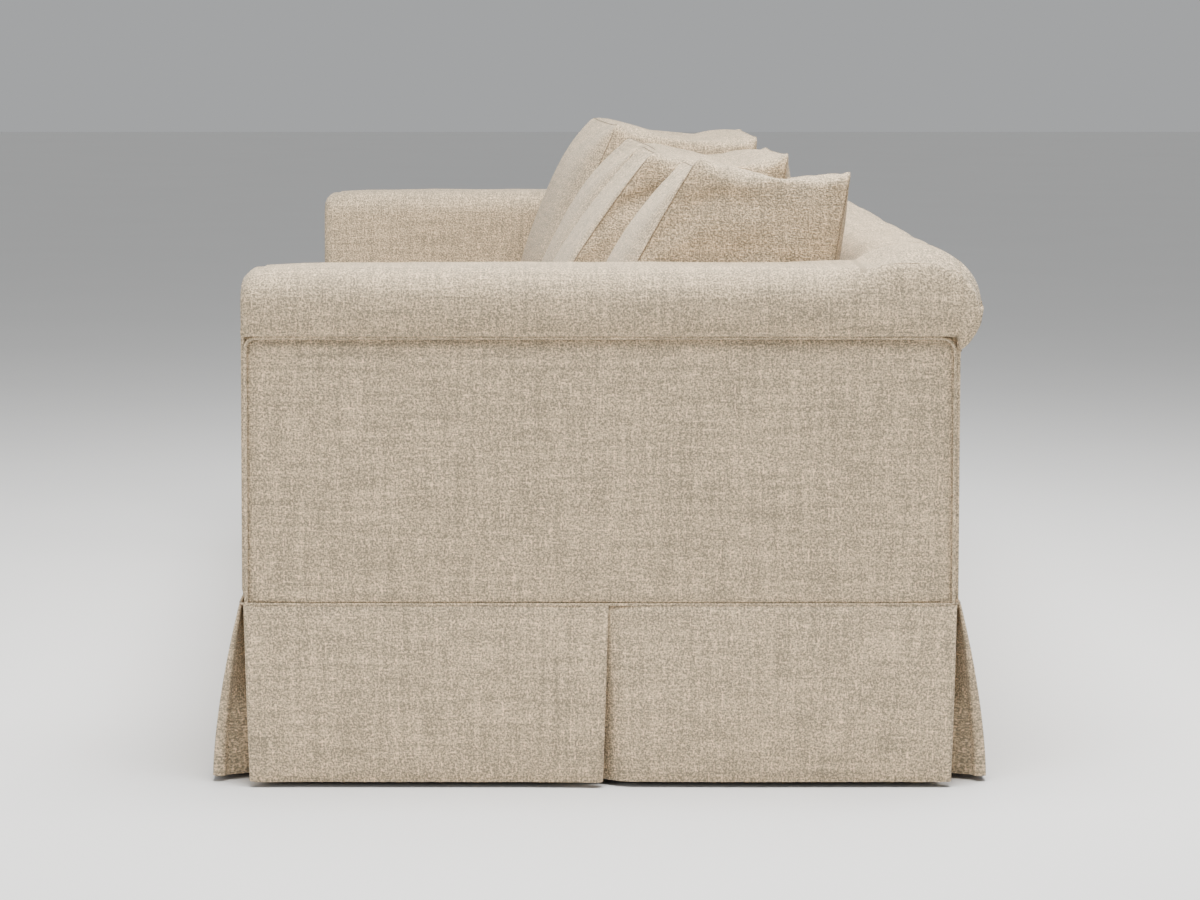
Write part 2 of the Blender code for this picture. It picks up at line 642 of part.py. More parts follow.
def seat_cushion(section, side, slot, parent, linen):
    """Boxed seat cushion with a crowned top, from the front border to the foot of the back."""
    half_width = (SLOT_WIDTH - CUSHION_GAP) / 2
    front = FRONT_FACE + SEAT_FRONT_SETBACK + SEAT_FRONT_BULGE
    rear = back_inner_face(DECK_TOP) - CUSHION_GAP
    half_depth = (rear - front) / 2
    along = (-1.0, -0.9, -0.6, -0.2, 0.2, 0.6, 0.9, 1.0)

    def ring_at(station):
        crown = plateau(station)
        ring = []
        for v in along:
            x = station * (half_width - SEAT_DRAW_IN * (1 - v * v))
            ring.append((x, v * half_depth, SEAT_BOXING + SEAT_CROWN * crown * plateau(v)))
        middle_x = station * half_width
        ring.append((middle_x, half_depth, SEAT_BOXING / 2))
        for v in reversed(along):
            ring.append((station * (half_width - SEAT_DRAW_IN * (1 - v * v)), v * half_depth, 0.0))
        ring.append((middle_x, -half_depth - SEAT_FRONT_BULGE * crown, SEAT_BOXING / 2))
        return ring

    location = (side * slot_middle(slot), (front + rear) / 2, SEAT_BOTTOM)
    cushion(f"{section}_seat_cushion_{slot}", ring_at, half_width, SEAT_DRAW_IN, parent, linen, location)


def back_cushion(section, side, slot, parent, linen):
    """Boxed back cushion: thick at its foot, leaning on the back, with a full front and sharp top corners."""
    forward, top, base, full, front_height, rear_height = BACK_CUSHION_STANCE[(section, slot)]
    foot = SEAT_TOP + CONTACT
    half_width = (SLOT_WIDTH - CUSHION_GAP) / 2
    lean = math.tan(BACK_RAKE)
    rear = back_inner_face(foot) - BACK_CUSHION_CLEARANCE - forward
    steps = (0.0, 0.05, 0.2, 0.5, 0.8, 0.95, 1.0)

    def ring_at(station):
        crown = plateau(station)
        ring = []
        for v in steps:
            thick = base + (top - base) * v
            bulge = full * crown * math.sqrt(1 - (2 * v - 1) ** 6)
            ring.append((v * front_height * lean - thick - bulge, v * front_height))
        for share in (0.3, 0.7):
            height = front_height + (rear_height - front_height) * share
            sag = BACK_CUSHION_SAG * (1 + 0.6 * crown)
            ring.append((height * lean - top * (1 - share), height - sag))
        for v in reversed(steps):
            bulge = 0.8 * forward * crown * math.sin(math.pi * v) if 0 < v < 1 else 0.0
            ring.append((v * rear_height * lean + bulge, v * rear_height))
        for share in (0.7, 0.3):
            ring.append((-base * (1 - share), 0.0))
        points = []
        for y, z in ring:
            waist = BACK_CUSHION_DRAW_IN * math.sin(math.pi * min(1.0, max(0.0, z / front_height)))
            points.append((station * (half_width - waist), y, z))
        return points

    location = (side * slot_middle(slot), rear, foot)
    name = f"{section}_back_cushion_{slot}"
    cushion(name, ring_at, half_width, BACK_CUSHION_DRAW_IN, parent, linen, location)


def build_section(section, side, surfaces):
    """All pieces of one section under one empty at the join."""
    parent = bpy.data.objects.new(f"{section}_section", None)
    bpy.context.scene.collection.objects.link(parent)
    base_rails(section, side, parent, surfaces["timber"])
    arm_frame(section, side, parent, surfaces["timber"])
    back_frame(section, side, parent, surfaces["timber"])
    legs(section, side, parent, surfaces["leg"])
    springs(section, side, parent, surfaces["steel"])
    seat_deck(section, side, parent, surfaces["decking"])
    dust_cover(section, side, parent, surfaces["dust_cloth"])
    front_border(section, side, parent, surfaces["linen"])
    arm_cover(section, side, parent, surfaces["linen"])
    outside_arm_panel(section, side, parent, surfaces["linen"])
    back_cover(section, side, parent, surfaces["linen"])
    end_skirt(section, side, parent, surfaces["linen"])
    for which in ("front", "back"):
        long_skirt(section, side, parent, surfaces["linen"], which)
        connector(section, side, parent, surfaces["steel"], which)
    for slot in SLOTS:
        seat_cushion(section, side, slot, parent, surfaces["linen"])
        back_cushion(section, side, slot, parent, surfaces["linen"])


def build():
    """Clear the scene and build both sections."""
    for old in list(bpy.data.objects):
        bpy.data.objects.remove(old)
    surfaces = {
        "linen": material("linen", (0.49, 0.42, 0.34), 0.92),
        "decking": material("decking", (0.45, 0.40, 0.33), 0.95),
        "dust_cloth": material("dust_cloth", (0.03, 0.03, 0.03), 0.95),
        "timber": material("timber", (0.55, 0.40, 0.24), 0.70),
        "leg": material("leg", (0.10, 0.06, 0.04), 0.45),
        "steel": material("steel", (0.55, 0.55, 0.56), 0.35, 1.0),
    }
    for section, side in SIDES.items():
        build_section(section, side, surfaces)


build()
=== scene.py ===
"""Dresses the sofa's solids: linen covers, filled cushions, pleated skirts, timber and steel."""
import json
import math

import bmesh
import bpy
import numpy as np
from bpy.props import FloatProperty, FloatVectorProperty, PointerProperty
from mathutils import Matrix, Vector, noise

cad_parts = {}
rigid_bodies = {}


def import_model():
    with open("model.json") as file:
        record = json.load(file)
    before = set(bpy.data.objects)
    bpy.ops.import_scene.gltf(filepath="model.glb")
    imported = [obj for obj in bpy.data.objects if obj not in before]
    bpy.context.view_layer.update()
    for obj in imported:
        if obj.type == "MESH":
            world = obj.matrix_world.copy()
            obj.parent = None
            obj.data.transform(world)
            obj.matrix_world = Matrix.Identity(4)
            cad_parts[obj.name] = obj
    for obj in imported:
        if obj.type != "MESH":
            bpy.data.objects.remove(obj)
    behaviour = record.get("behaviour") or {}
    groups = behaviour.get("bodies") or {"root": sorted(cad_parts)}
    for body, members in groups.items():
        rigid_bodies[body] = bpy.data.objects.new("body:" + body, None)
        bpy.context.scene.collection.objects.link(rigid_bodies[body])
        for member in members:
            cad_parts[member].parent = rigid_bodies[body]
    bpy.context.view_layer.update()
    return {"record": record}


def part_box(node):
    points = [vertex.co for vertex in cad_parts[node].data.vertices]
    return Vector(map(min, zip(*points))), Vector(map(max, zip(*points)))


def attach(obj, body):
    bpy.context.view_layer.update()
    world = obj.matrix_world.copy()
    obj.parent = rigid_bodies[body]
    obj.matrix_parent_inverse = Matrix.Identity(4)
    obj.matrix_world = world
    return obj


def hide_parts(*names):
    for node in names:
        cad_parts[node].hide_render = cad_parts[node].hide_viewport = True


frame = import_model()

bl_info = {
    "name": "Skirted sofa",
    "version": (1, 0, 0),
    "blender": (4, 5, 0),
    "location": "View3D > Sidebar > Sofa",
    "description": "Covers, cushions and skirts of a straight two-section sofa",
    "category": "Object",
}

SIDES = {"left": -1, "right": 1}
SLOTS = ("inner", "outer")
OTHER_AXES = ((1, 2), (0, 2), (0, 1))
PANEL_SHIFT = (0.37, 0.21)

# Planes and levels of the solids, on the right section
_arm_low, _arm_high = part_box("right_arm_cover")
_panel_low, _panel_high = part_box("right_outside_arm_panel")
_border_low, _border_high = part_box("right_front_border")
ARM_INNER = _arm_low.x
HALF_LENGTH = _panel_high.x
ARM_OVERHANG = _arm_high.x - HALF_LENGTH
FRONT_FACE = _arm_low.y
BACK_FACE = -FRONT_FACE
BACK_END = _arm_high.y
BACK_TOP = _arm_high.z
LEG_TOP = _arm_low.z
ARM_SEAM = _panel_high.z
DECK_TOP = _border_high.z
JOIN_FACE = _border_low.x
PANEL_RIM = _panel_low.y - FRONT_FACE
SLOT_WIDTH = (ARM_INNER - JOIN_FACE) / 2

# Back: its roll, its raked inner face and the curve between them
BACK_ROLL = 0.078
BACK_ROLL_Y = BACK_END - BACK_ROLL
BACK_ROLL_Z = BACK_TOP - BACK_ROLL
ROLL_START = math.acos((BACK_FACE - BACK_ROLL_Y) / BACK_ROLL)
BACK_FOOT = 0.216
BACK_LEAN = math.tan(math.radians(9.5))
BACK_CURVE = 0.075
BACK_WALL = 0.010
CURVE_STEPS, FACE_STEPS, ROLL_STEPS = 22, 20, 20
BACK_PLAY = 0.0003
JOIN_ROUND = 0.006
BACK_FOLDS, BACK_CREASES, BACK_SLACK = 0.0060, 0.0016, 0.0030

# Arms: the roll along the top, and how it turns into the flatter facing at the back end
ARM_TOP = 0.7165
ARM_ROLL = 0.0575
ARM_ROLL_Z = ARM_TOP - ARM_ROLL
SEAM_LIFT = 0.005
SEAM_LEVEL = ARM_SEAM + SEAM_LIFT
SEAM_GAP = 0.0006
SEAM_REACH = BACK_ROLL - 0.0055
DOME, DOME_END = 0.080, 0.020
FACING_START, FACING_RUN = 0.295, 0.105
FACING_ROUND, FACING_RISE = 0.016, 0.006
ROLL_BLEND = 0.008
ROUND_SHARE = 0.48
FRONT_DROP, FRONT_DROP_RUN = 0.0065, 0.065
FRONT_RUN = 0.030
FRONT_SWELL = 0.0025
INNER_ROUND, INNER_SHARP = 0.045, 0.003
INNER_TURN_START, INNER_TURN_RUN = 0.27, 0.08
ROLL_CLOTH_END = 0.36
FACING_SEAM_START = 0.385
SOFT_EDGE = (0.012, 0.020)
RIM_EDGE = 0.004
LIP = 0.010
REAR_LEDGE = 0.014
PANEL_RECESS, RIM_RECESS = 0.0075, 0.0004

# Outside arm panels
PUFF_RUN = 0.09
EDGE_DROP, EDGE_RUN = 0.0035, 0.006
SEAM_PINCH, PINCH_RUN = -0.0008, 0.009
PANEL_CORNER = 0.012

# Front borders, seat decks and dust covers
BLOCK_CUTS = 24
BORDER_EDGE = 0.006
DECK_EDGE, DECK_CROWN = 0.008, 0.003
DUST_SAG, DUST_WALL = 0.006, 0.0007

# Skirt
SKIRT_TOP = 0.248
SKIRT_HEM = 0.008
FLARE = 0.0405
LAYERS = (0.0013, 0.0033, 0.0053)
SKIRT_CURVE = 1.6
SKIRT_LINES, MEASURED_LINE = 22, 12
WELT_OUT, WELT_RISE = 0.0028, 0.0020
END_PLEAT = 0.010
PLEAT_DEPTH = 0.055
PLEAT_OPENING = 0.015
PLEAT_SWING = 0.007
PLEAT_RAMP = 0.110
PLEAT_PROUD = 0.0055
CORNER_MEET = 0.034
CORNER_SETBACK = 0.003
CORNER_FOLD = 0.0085
BODY_TUCK = 0.010
END_TAPER = 0.010
LONG_SPREAD = 0.003

# Cushions
CUSHION_CORNER = 0.020
CUSHION_DEPTH_CELLS = 26
CELL_SPREAD = 0.35
SEAT_BOXING = 0.165
SEAT_FRONT_ROOM = 0.012
SEAT_BULGE = 0.016
SEAT_EASE, SEAT_EASE_RUN = 0.004, 0.012
SLOT_PLAY, SLOT_GAP = 0.0012, 0.004
REST_GAP = 0.005
TOP_SAG = 0.023
WAIST = 0.006
SEAT_SIDE_PUSH, BACK_SIDE_PUSH = 0.6, 0.12
FILL_STEPS = 20
SEAM_STEP = 0.006
END = 1 - 1e-6

# How each back cushion was left: distance forward of the back, thickness at its top and its foot,
# fullness of its front, height of its front and rear top seams, droop of its inner end,
# crown of its top edge, how far its outer end stands forward, and how far its front shoulder is rounded off
STANCE = {
    ("left", "outer"): (0.032, 0.262, 0.340, 0.030, 0.363, 0.340, 0.0, -0.004, 0.034, 0.004),
    ("left", "inner"): (0.032, 0.240, 0.350, 0.026, 0.340, 0.318, 0.002, 0.000, 0.0, 0.040),
    ("right", "inner"): (0.054, 0.213, 0.366, 0.000, 0.350, 0.348, 0.008, -0.006, 0.0, 0.030),
    ("right", "outer"): (0.003, 0.219, 0.337, 0.011, 0.362, 0.341, 0.026, -0.008, 0.0, 0.022),
}


class SofaSizes(bpy.types.PropertyGroup):
    """Sizes of the cloth work."""
    welt: FloatProperty(name="Welt", description="Radius of the welts on the body", default=0.0027,
                        unit="LENGTH", subtype="DISTANCE")
    cushion_welt: FloatProperty(name="Cushion welt", description="Radius of the welts on the cushions",
                                default=0.0013, unit="LENGTH", subtype="DISTANCE")
    panel_puff: FloatProperty(name="Panel puff", description="Fullness of the outside arm panels",
                              default=0.0060, unit="LENGTH", subtype="DISTANCE")
    hem_wave: FloatProperty(name="Hem wave", description="Depth of the waves in the skirt at its hem",
                            default=0.0022, unit="LENGTH", subtype="DISTANCE")
    cloth: FloatProperty(name="Skirt cloth", description="Thickness of the lined skirt",
                         default=0.0016, unit="LENGTH", subtype="DISTANCE")
    seat_crown: FloatProperty(name="Seat crown", description="Crown of a seat cushion before it is filled",
                              default=0.008, unit="LENGTH", subtype="DISTANCE")
    cell: FloatProperty(name="Cell", description="Mesh cell of a cushion", default=0.011,
                        unit="LENGTH", subtype="DISTANCE")
    seat_swell: FloatProperty(name="Seat swell",
                              description="How far filling may push a seat cushion's cloth",
                              default=0.024, unit="LENGTH", subtype="DISTANCE")
    back_swell: FloatProperty(name="Back swell",
                              description="How far filling may push a back cushion's cloth",
                              default=0.015, unit="LENGTH", subtype="DISTANCE")


class SofaColours(bpy.types.PropertyGroup):
    """Colours of the finishes."""
    linen_dark: FloatVectorProperty(name="Linen, dark threads", description="Shaded threads of the linen",
                                    default=(0.245, 0.203, 0.139), subtype="COLOR")
    linen_light: FloatVectorProperty(name="Linen, light threads", description="Raised threads of the linen",
                                     default=(0.950, 0.715, 0.457), subtype="COLOR")
    decking: FloatVectorProperty(name="Decking", description="Cloth on the seat deck",
                                 default=(0.47, 0.41, 0.33), subtype="COLOR")
    dust_cloth: FloatVectorProperty(name="Dust cloth", description="Cloth under the base",
                                    default=(0.030, 0.030, 0.032), subtype="COLOR")
    timber: FloatVectorProperty(name="Timber", description="Sawn frame timber",
                                default=(0.55, 0.40, 0.24), subtype="COLOR")
    leg: FloatVectorProperty(name="Leg", description="Stained legs",
                             default=(0.10, 0.06, 0.04), subtype="COLOR")
    steel: FloatVectorProperty(name="Steel", description="Zinc-coated steel",
                               default=(0.55, 0.55, 0.56), subtype="COLOR")
    floor: FloatVectorProperty(name="Floor", description="Studio floor",
                               default=(0.88, 0.87, 0.85), subtype="COLOR")


def sizes():
    return bpy.context.scene.sofa_sizes


def colours():
    return bpy.context.scene.sofa_colours


# Finishes

class Field:
    """A value in a material; sums and products of fields add Math nodes."""

    def __init__(self, finish, socket):
        self.finish = finish
        self.socket = socket

    def math(self, operation, first, second=0.0):
        node = self.finish.node("ShaderNodeMath", {"operation": operation}, {0: first, 1: second})
        return Field(self.finish, node.outputs[0])

    def __add__(self, other):
        return self.math("ADD", self, other)

    def __sub__(self, other):
        return self.math("SUBTRACT", self, other)

    def __rsub__(self, other):
        return self.math("SUBTRACT", other, self)

    def __mul__(self, other):
        return self.math("MULTIPLY", self, other)

    __radd__ = __add__
    __rmul__ = __mul__

    def above(self, level):
        """What is left over a level, nothing below it."""
        return self.math("MAXIMUM", self - level, 0.0)

    def limited(self):
        """Kept between 0 and 1."""
        return self.math("MAXIMUM", self.math("MINIMUM", self, 1.0), 0.0)


class Finish:
    """A material under construction."""

    def __init__(self, name, **constants):
        self.material = bpy.data.materials.new(name)
        self.material.use_nodes = True
        self.tree = self.material.node_tree
        self.shader = self.tree.nodes["Principled BSDF"]
        for socket, value in constants.items():
            self.shader.inputs[socket.replace("_", " ")].default_value = value

    def node(self, kind, settings=None, inputs=None):
        """Any node: its settings first, then the values or links of its sockets."""
        node = self.tree.nodes.new(kind)
        for name, value in (settings or {}).items():
            setattr(node, name, value)
        for key, value in (inputs or {}).items():
            if isinstance(value, Field):
                value = value.socket
            if isinstance(value, bpy.types.NodeSocket):
                self.tree.links.new(value, node.inputs[key])
            else:
                node.inputs[key].default_value = value
        return node

    def cloth_place(self):
        """Place on the cloth, in metres along weft and warp."""
        return self.node("ShaderNodeUVMap", {"uv_map": "cloth"}).outputs["UV"]

    def object_place(self):
        return self.node("ShaderNodeTexCoord").outputs["Object"]

    def grain(self, place, scale, detail=1.0, dimensions="2D"):
        """Noise stretched by its scales along the axes."""
        at = self.node("ShaderNodeMapping", {}, {"Vector": place, "Scale": scale})
        speckle = self.node("ShaderNodeTexNoise", {"noise_dimensions": dimensions},
                            {"Vector": at.outputs[0], "Scale": 1.0, "Detail": detail, "Roughness": 0.5})
        return Field(self, speckle.outputs[0])

    def mix(self, share, first, second):
        """Colour between two colours."""
        node = self.node("ShaderNodeMix", {"data_type": "RGBA"}, {0: share, 6: first, 7: second})
        return node.outputs[2]

    def feed(self, socket, value):
        self.tree.links.new(value.socket if isinstance(value, Field) else value, self.shader.inputs[socket])

    def relief(self, height, strength, distance):
        bump = self.node("ShaderNodeBump", {},
                         {"Height": height, "Strength": strength, "Distance": distance})
        self.feed("Normal", bump.outputs[0])


def rgba(colour, factor=1.0):
    return (*(min(1.0, c * factor) for c in colour), 1.0)


def shaded(colour, factor):
    return [c * factor for c in colour]


def linen_finish(name, dark, light, threads=1.0):
    """Heavy linen: uneven warp and weft, flecks, short slubs, thicker threads and slow changes of tone."""
    f = Finish(name, Roughness=0.9, Sheen_Weight=0.18, Sheen_Roughness=0.45, Specular_IOR_Level=0.22)
    f.shader.inputs["Sheen Tint"].default_value = (1.0, 0.97, 0.92, 1.0)
    place = f.cloth_place()

    def both_ways(across, along):
        """Grain along the warp and along the weft, in cells per metre."""
        return f.grain(place, (across, along, 1)), f.grain(place, (along, across, 1))

    warp, weft = both_ways(420 * threads, 270 * threads)
    slub_warp, slub_weft = (grain.above(0.60) for grain in both_ways(330 * threads, 60 * threads))
    band_warp, band_weft = both_ways(110 * threads, 9)
    fleck = f.grain(place, (440 * threads, 440 * threads, 1))
    tone = f.grain(place, (14, 14, 1), 3.0)
    height = 0.5 + 1.6 * (warp + weft + fleck - 1.5) + 3.0 * (slub_warp + slub_weft)
    streaks = 0.36 * (band_warp + band_weft - 1.0) + 0.18 * (tone - 0.5)
    shade = (0.245 + 0.68 * (height - 0.5) + streaks).limited()
    f.feed("Base Color", f.mix(shade, rgba(dark), rgba(light)))
    f.feed("Roughness", (0.98 - 0.14 * height).limited())
    f.relief(height, 0.6, 0.0012)
    return f.material


def dust_cloth_finish(name, colour):
    """Black non-woven cloth with a pressed dot pattern."""
    f = Finish(name, Roughness=0.95, Specular_IOR_Level=0.2)
    place = f.object_place()
    dots = f.node("ShaderNodeTexVoronoi", {}, {"Vector": place, "Scale": 420.0, "Randomness": 0.15})
    height = Field(f, dots.outputs["Distance"])
    fibre = f.grain(place, (900, 900, 900), 2.0, "3D")
    f.feed("Base Color", f.mix((0.35 + 0.6 * height + 0.7 * (fibre - 0.5)).limited(),
                               rgba(colour, 0.5), rgba(colour, 2.2)))
    f.feed("Roughness", (0.85 + 0.2 * fibre).limited())
    f.relief(height, 0.4, 0.0008)
    return f.material


def wood_finish(name, colour, gloss, contrast):
    """Timber with grain along the length of the sofa."""
    f = Finish(name, Roughness=gloss, Specular_IOR_Level=0.4)
    place = f.object_place()
    ring = f.grain(place, (2.2, 26, 26), 3.0, "3D")
    pore = f.grain(place, (18, 420, 420), 2.0, "3D")
    figure = f.node("ShaderNodeTexWave", {"wave_type": "BANDS", "bands_direction": "Y"},
                    {"Vector": place, "Scale": 9.0, "Distortion": 7.0, "Detail": 3.0, "Detail Scale": 1.4})
    band = Field(f, figure.outputs["Fac"])
    shade = 0.5 + contrast * (ring - 0.5) + 0.35 * contrast * (band - 0.5) + 0.5 * contrast * (pore - 0.5)
    f.feed("Base Color", f.mix(shade.limited(), rgba(colour, 0.55), rgba(colour, 1.35)))
    f.feed("Roughness", (gloss + 0.3 * (pore - 0.5)).limited())
    f.relief(pore + 0.4 * ring, 0.25, 0.0006)
    return f.material


def steel_finish(name, colour):
    """Bright zinc over drawn steel, dulled in patches."""
    f = Finish(name, Metallic=1.0)
    place = f.object_place()
    patch = f.grain(place, (40, 40, 40), 3.0, "3D")
    scratch = f.grain(place, (60, 900, 900), 1.0, "3D")
    f.feed("Base Color", f.mix(patch, rgba(colour, 0.8), rgba(colour, 1.2)))
    f.feed("Roughness", (0.2 + 0.3 * patch + 0.15 * (scratch - 0.5)).limited())
    f.relief(scratch, 0.15, 0.0002)
    return f.material


def finish_named(name):
    """The finish of that name, made on first use."""
    made = bpy.data.materials.get(name)
    if made and made.get("dressed"):
        return made
    c = colours()
    ways = {
        "oatmeal_linen": (linen_finish, c.linen_dark, c.linen_light),
        # The same linen at 0.55 of its colours: painted shade for the cushion welts, standing in for the dark
        # line of a seam.
        "seam_linen": (linen_finish, shaded(c.linen_dark, 0.55), shaded(c.linen_light, 0.55), 1.5),
        "decking_cloth": (linen_finish, shaded(c.decking, 0.75), shaded(c.decking, 1.25), 1.6),
        "black_dust_cloth": (dust_cloth_finish, c.dust_cloth),
        "sawn_timber": (wood_finish, c.timber, 0.75, 1.3),
        "stained_leg": (wood_finish, c.leg, 0.42, 0.9),
        "zinc_steel": (steel_finish, c.steel),
    }
    make, *facts = ways[name]
    made = make(name, *facts)
    made["dressed"] = True
    return made


# Mesh helpers

def ease(value):
    """Smooth step from 0 to 1."""
    value = min(1.0, max(0.0, value))
    return value * value * (3 - 2 * value)


def between(first, second, share):
    return first + (second - first) * share


def give_piece(obj, body, slot, finish, *nodes):
    """Finish, body and replaced nodes of a new piece."""
    obj.data.materials.clear()
    obj.data.materials.append(finish_named(finish))
    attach(obj, body)
    if nodes:
        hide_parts(*nodes)


def give_linen(obj, section, *nodes):
    """A piece of a section's linen cover."""
    give_piece(obj, f"{section}_section", "linen", "oatmeal_linen", *nodes)


def select_only(obj):
    bpy.ops.object.select_all(action="DESELECT")
    obj.select_set(True)
    bpy.context.view_layer.objects.active = obj


def new_object(name, mesh):
    obj = bpy.data.objects.new(name, mesh)
    bpy.context.scene.collection.objects.link(obj)
    select_only(obj)
    return obj


def mesh_object(name, bm, smooth_angle=50.0):
    """Object from a bmesh, faces outwards, smooth except across sharp edges."""
    bmesh.ops.recalc_face_normals(bm, faces=bm.faces)
    if all(len(edge.link_faces) == 2 for edge in bm.edges) and bm.calc_volume(signed=True) < 0:
        bmesh.ops.reverse_faces(bm, faces=bm.faces)
    mesh = bpy.data.meshes.new(name)
    bm.to_mesh(mesh)
    bm.free()
    obj = new_object(name, mesh)
    bpy.ops.object.shade_smooth_by_angle(angle=math.radians(smooth_angle))
    return obj


def apply_modifiers(obj):
    select_only(obj)
    for modifier in list(obj.modifiers):
        bpy.ops.object.modifier_apply(modifier=modifier.name)


def facing_axis(normal):
    """Axis that a face looks along."""
    return max(range(3), key=lambda k: abs(normal[k]))


def on_panel(p, axis):
    """Cloth coordinates of a point on a panel that faces along an axis."""
    first, second = OTHER_AXES[axis]
    return p[first] + PANEL_SHIFT[0] * axis, p[second] + PANEL_SHIFT[1] * axis


def lay_cloth(obj):
    """Cloth coordinates in metres, from the side that each face looks to."""
    layer = obj.data.uv_layers.get("cloth") or obj.data.uv_layers.new(name="cloth")
    for face in obj.data.polygons:
        axis = facing_axis(face.normal)
        for loop in face.loop_indices:
            layer.data[loop].uv = on_panel(obj.data.vertices[obj.data.loops[loop].vertex_index].co, axis)


def skin(rings, closed=True, cap_start=False, cap_end=False):
    """Faces through rows of points, with cloth coordinates along and across the rows."""
    bm = bmesh.new()
    uv = bm.loops.layers.uv.new("cloth")
    rows = [[bm.verts.new(p) for p in ring] for ring in rings]
    count = len(rings[0])
    middle = rings[len(rings) // 2]
    across = [0.0]
    for i in range(count if closed else count - 1):
        across.append(across[-1] + (Vector(middle[(i + 1) % count]) - Vector(middle[i])).length)
    along = [0.0]
    widest = max(range(count), key=lambda i: (Vector(rings[-1][i]) - Vector(rings[0][i])).length)
    for ring, following in zip(rings, rings[1:]):
        along.append(along[-1] + (Vector(following[widest]) - Vector(ring[widest])).length)
    for r in range(len(rows) - 1):
        for i in range(count if closed else count - 1):
            j = (i + 1) % count
            face = bm.faces.new((rows[r][i], rows[r][j], rows[r + 1][j], rows[r + 1][i]))
            for loop, (k, q) in zip(face.loops, ((i, r), (i + 1, r), (i + 1, r + 1), (i, r + 1))):
                loop[uv].uv = (along[q], across[k])
    for wanted, row in ((cap_start, rows[0]), (cap_end, rows[-1])):
        if wanted:
            face = bm.faces.new(row)
            face.normal_update()
            first, second = OTHER_AXES[facing_axis(face.normal)]
            for loop in face.loops:
                loop[uv].uv = (loop.vert.co[first], loop.vert.co[second])
    return bm


def cord_path(points, closed, step):
    """Points evenly spaced along a line."""
    pts = [Vector(p) for p in points]
    if closed:
        pts.append(pts[0])
    lengths = [0.0]
    for a, b in zip(pts, pts[1:]):
        lengths.append(lengths[-1] + (b - a).length)
    count = max(4, round(lengths[-1] / step))
    out = []
    k = 0
    for i in range(count if closed else count + 1):
        want = lengths[-1] * i / count
        while k < len(pts) - 2 and lengths[k + 1] < want:
            k += 1
        span = lengths[k + 1] - lengths[k]
        out.append(pts[k].lerp(pts[k + 1], (want - lengths[k]) / span if span else 0.0))
    return out


def soften(points, closed, times=2):
    """Corners of a line cut a little rounder."""
    pts = [Vector(p) for p in points]
    for _ in range(times):
        count = len(pts)
        fresh = list(pts)
        for i in range(count):
            if closed or 0 < i < count - 1:
                fresh[i] = (pts[i - 1] + pts[i] * 2 + pts[(i + 1) % count]) / 4
        pts = fresh
    return pts


def welt(name, points, radius, closed=False, step=0.009, sides=8):
    """Covered cord along a line, with its cloth on the bias."""
    path = soften(cord_path(points, closed, step), closed)
    rings = []
    count = len(path)
    normal = None
    for i, p in enumerate(path):
        before = path[i - 1] if i or closed else p
        after = path[(i + 1) % count] if i + 1 < count or closed else p
        tangent = (after - before).normalized()
        if normal is None:
            normal = tangent.orthogonal().normalized()
        normal = (normal - tangent * normal.dot(tangent)).normalized()
        binormal = tangent.cross(normal)
        rings.append([p + (normal * math.cos(a) + binormal * math.sin(a)) * radius
                      for a in (2 * math.pi * k / sides for k in range(sides))])
    if closed:
        rings.append(rings[0])
        bm = skin(rings)
        bmesh.ops.remove_doubles(bm, verts=bm.verts, dist=1e-6)
    else:
        bm = skin(rings, cap_start=True, cap_end=True)
    return mesh_object(name, bm, 80.0)


def ruffle(p, size, seed):
    """Soft unevenness at a point, about -1 to 1."""
    return noise.noise(Vector((p[0] / size + seed, p[1] / size, p[2] / size)))


# Shape of the back

def back_inner(z):
    """Y of the raked inner face of the back."""
    return BACK_FACE - BACK_FOOT + (z - DECK_TOP) * BACK_LEAN


def back_curve(steps):
    """(y, z) from the raked inner face over to the top of the back's roll."""
    start_z = BACK_TOP - BACK_CURVE
    start = (back_inner(start_z), start_z)
    lift = BACK_CURVE * 0.6
    handles = ((start[0] + lift * BACK_LEAN, start[1] + lift),
               (start[0] + (BACK_ROLL_Y - start[0]) * 0.4, BACK_TOP), (BACK_ROLL_Y, BACK_TOP))
    points = [start]
    for k in range(1, steps + 1):
        t = k / steps
        s = 1 - t
        points.append(tuple(s ** 3 * start[i] + 3 * s * s * t * handles[0][i]
                            + 3 * s * t * t * handles[1][i] + t ** 3 * handles[2][i] for i in (0, 1)))
    return points


def back_over(y):
    """Level of the back's top at y, from its inner face to the top of its roll."""
    ys, zs = zip(*back_curve(CURVE_STEPS))
    return float(np.interp(y, ys, zs, left=0.0, right=0.0))


# Arms

def corner_arc(start, end, centre, steps):
    """Quarter ellipse from start to end about a centre, without its first point."""
    out = []
    for k in range(1, steps + 1):
        a = math.pi / 2 * k / steps
        out.append((centre[0] + (start[0] - centre[0]) * math.cos(a) + (end[0] - centre[0]) * math.sin(a),
                    centre[1] + (start[1] - centre[1]) * math.cos(a) + (end[1] - centre[1]) * math.sin(a)))
    return out


def straight(start, end, steps):
    """Points on the way from start to end, without the first."""
    shares = [k / steps for k in range(1, steps + 1)]
    return [(between(start[0], end[0], k), between(start[1], end[1], k)) for k in shares]


def roll_half(y):
    """Half the height of the back's roll at y."""
    return math.sqrt(max(0.0, BACK_ROLL ** 2 - (y - BACK_ROLL_Y) ** 2))


def arm_top(y):
    """Level of an arm's top: flat, then up over the roll of the back."""
    roll = BACK_ROLL_Z + roll_half(y)
    if y > BACK_ROLL_Y:
        return roll
    return (ARM_TOP + roll + math.sqrt((ARM_TOP - roll) ** 2 + ROLL_BLEND * ROLL_BLEND)) / 2


def facing_share(y):
    """How far the arm's roll has turned into the flatter facing at its back end."""
    return ease((y - FACING_START) / FACING_RUN)


def around_roll(y):
    """Share of the way from the top of the back's roll to its end."""
    return min(1.0, max(0.0, (y - BACK_ROLL_Y) / SEAM_REACH))


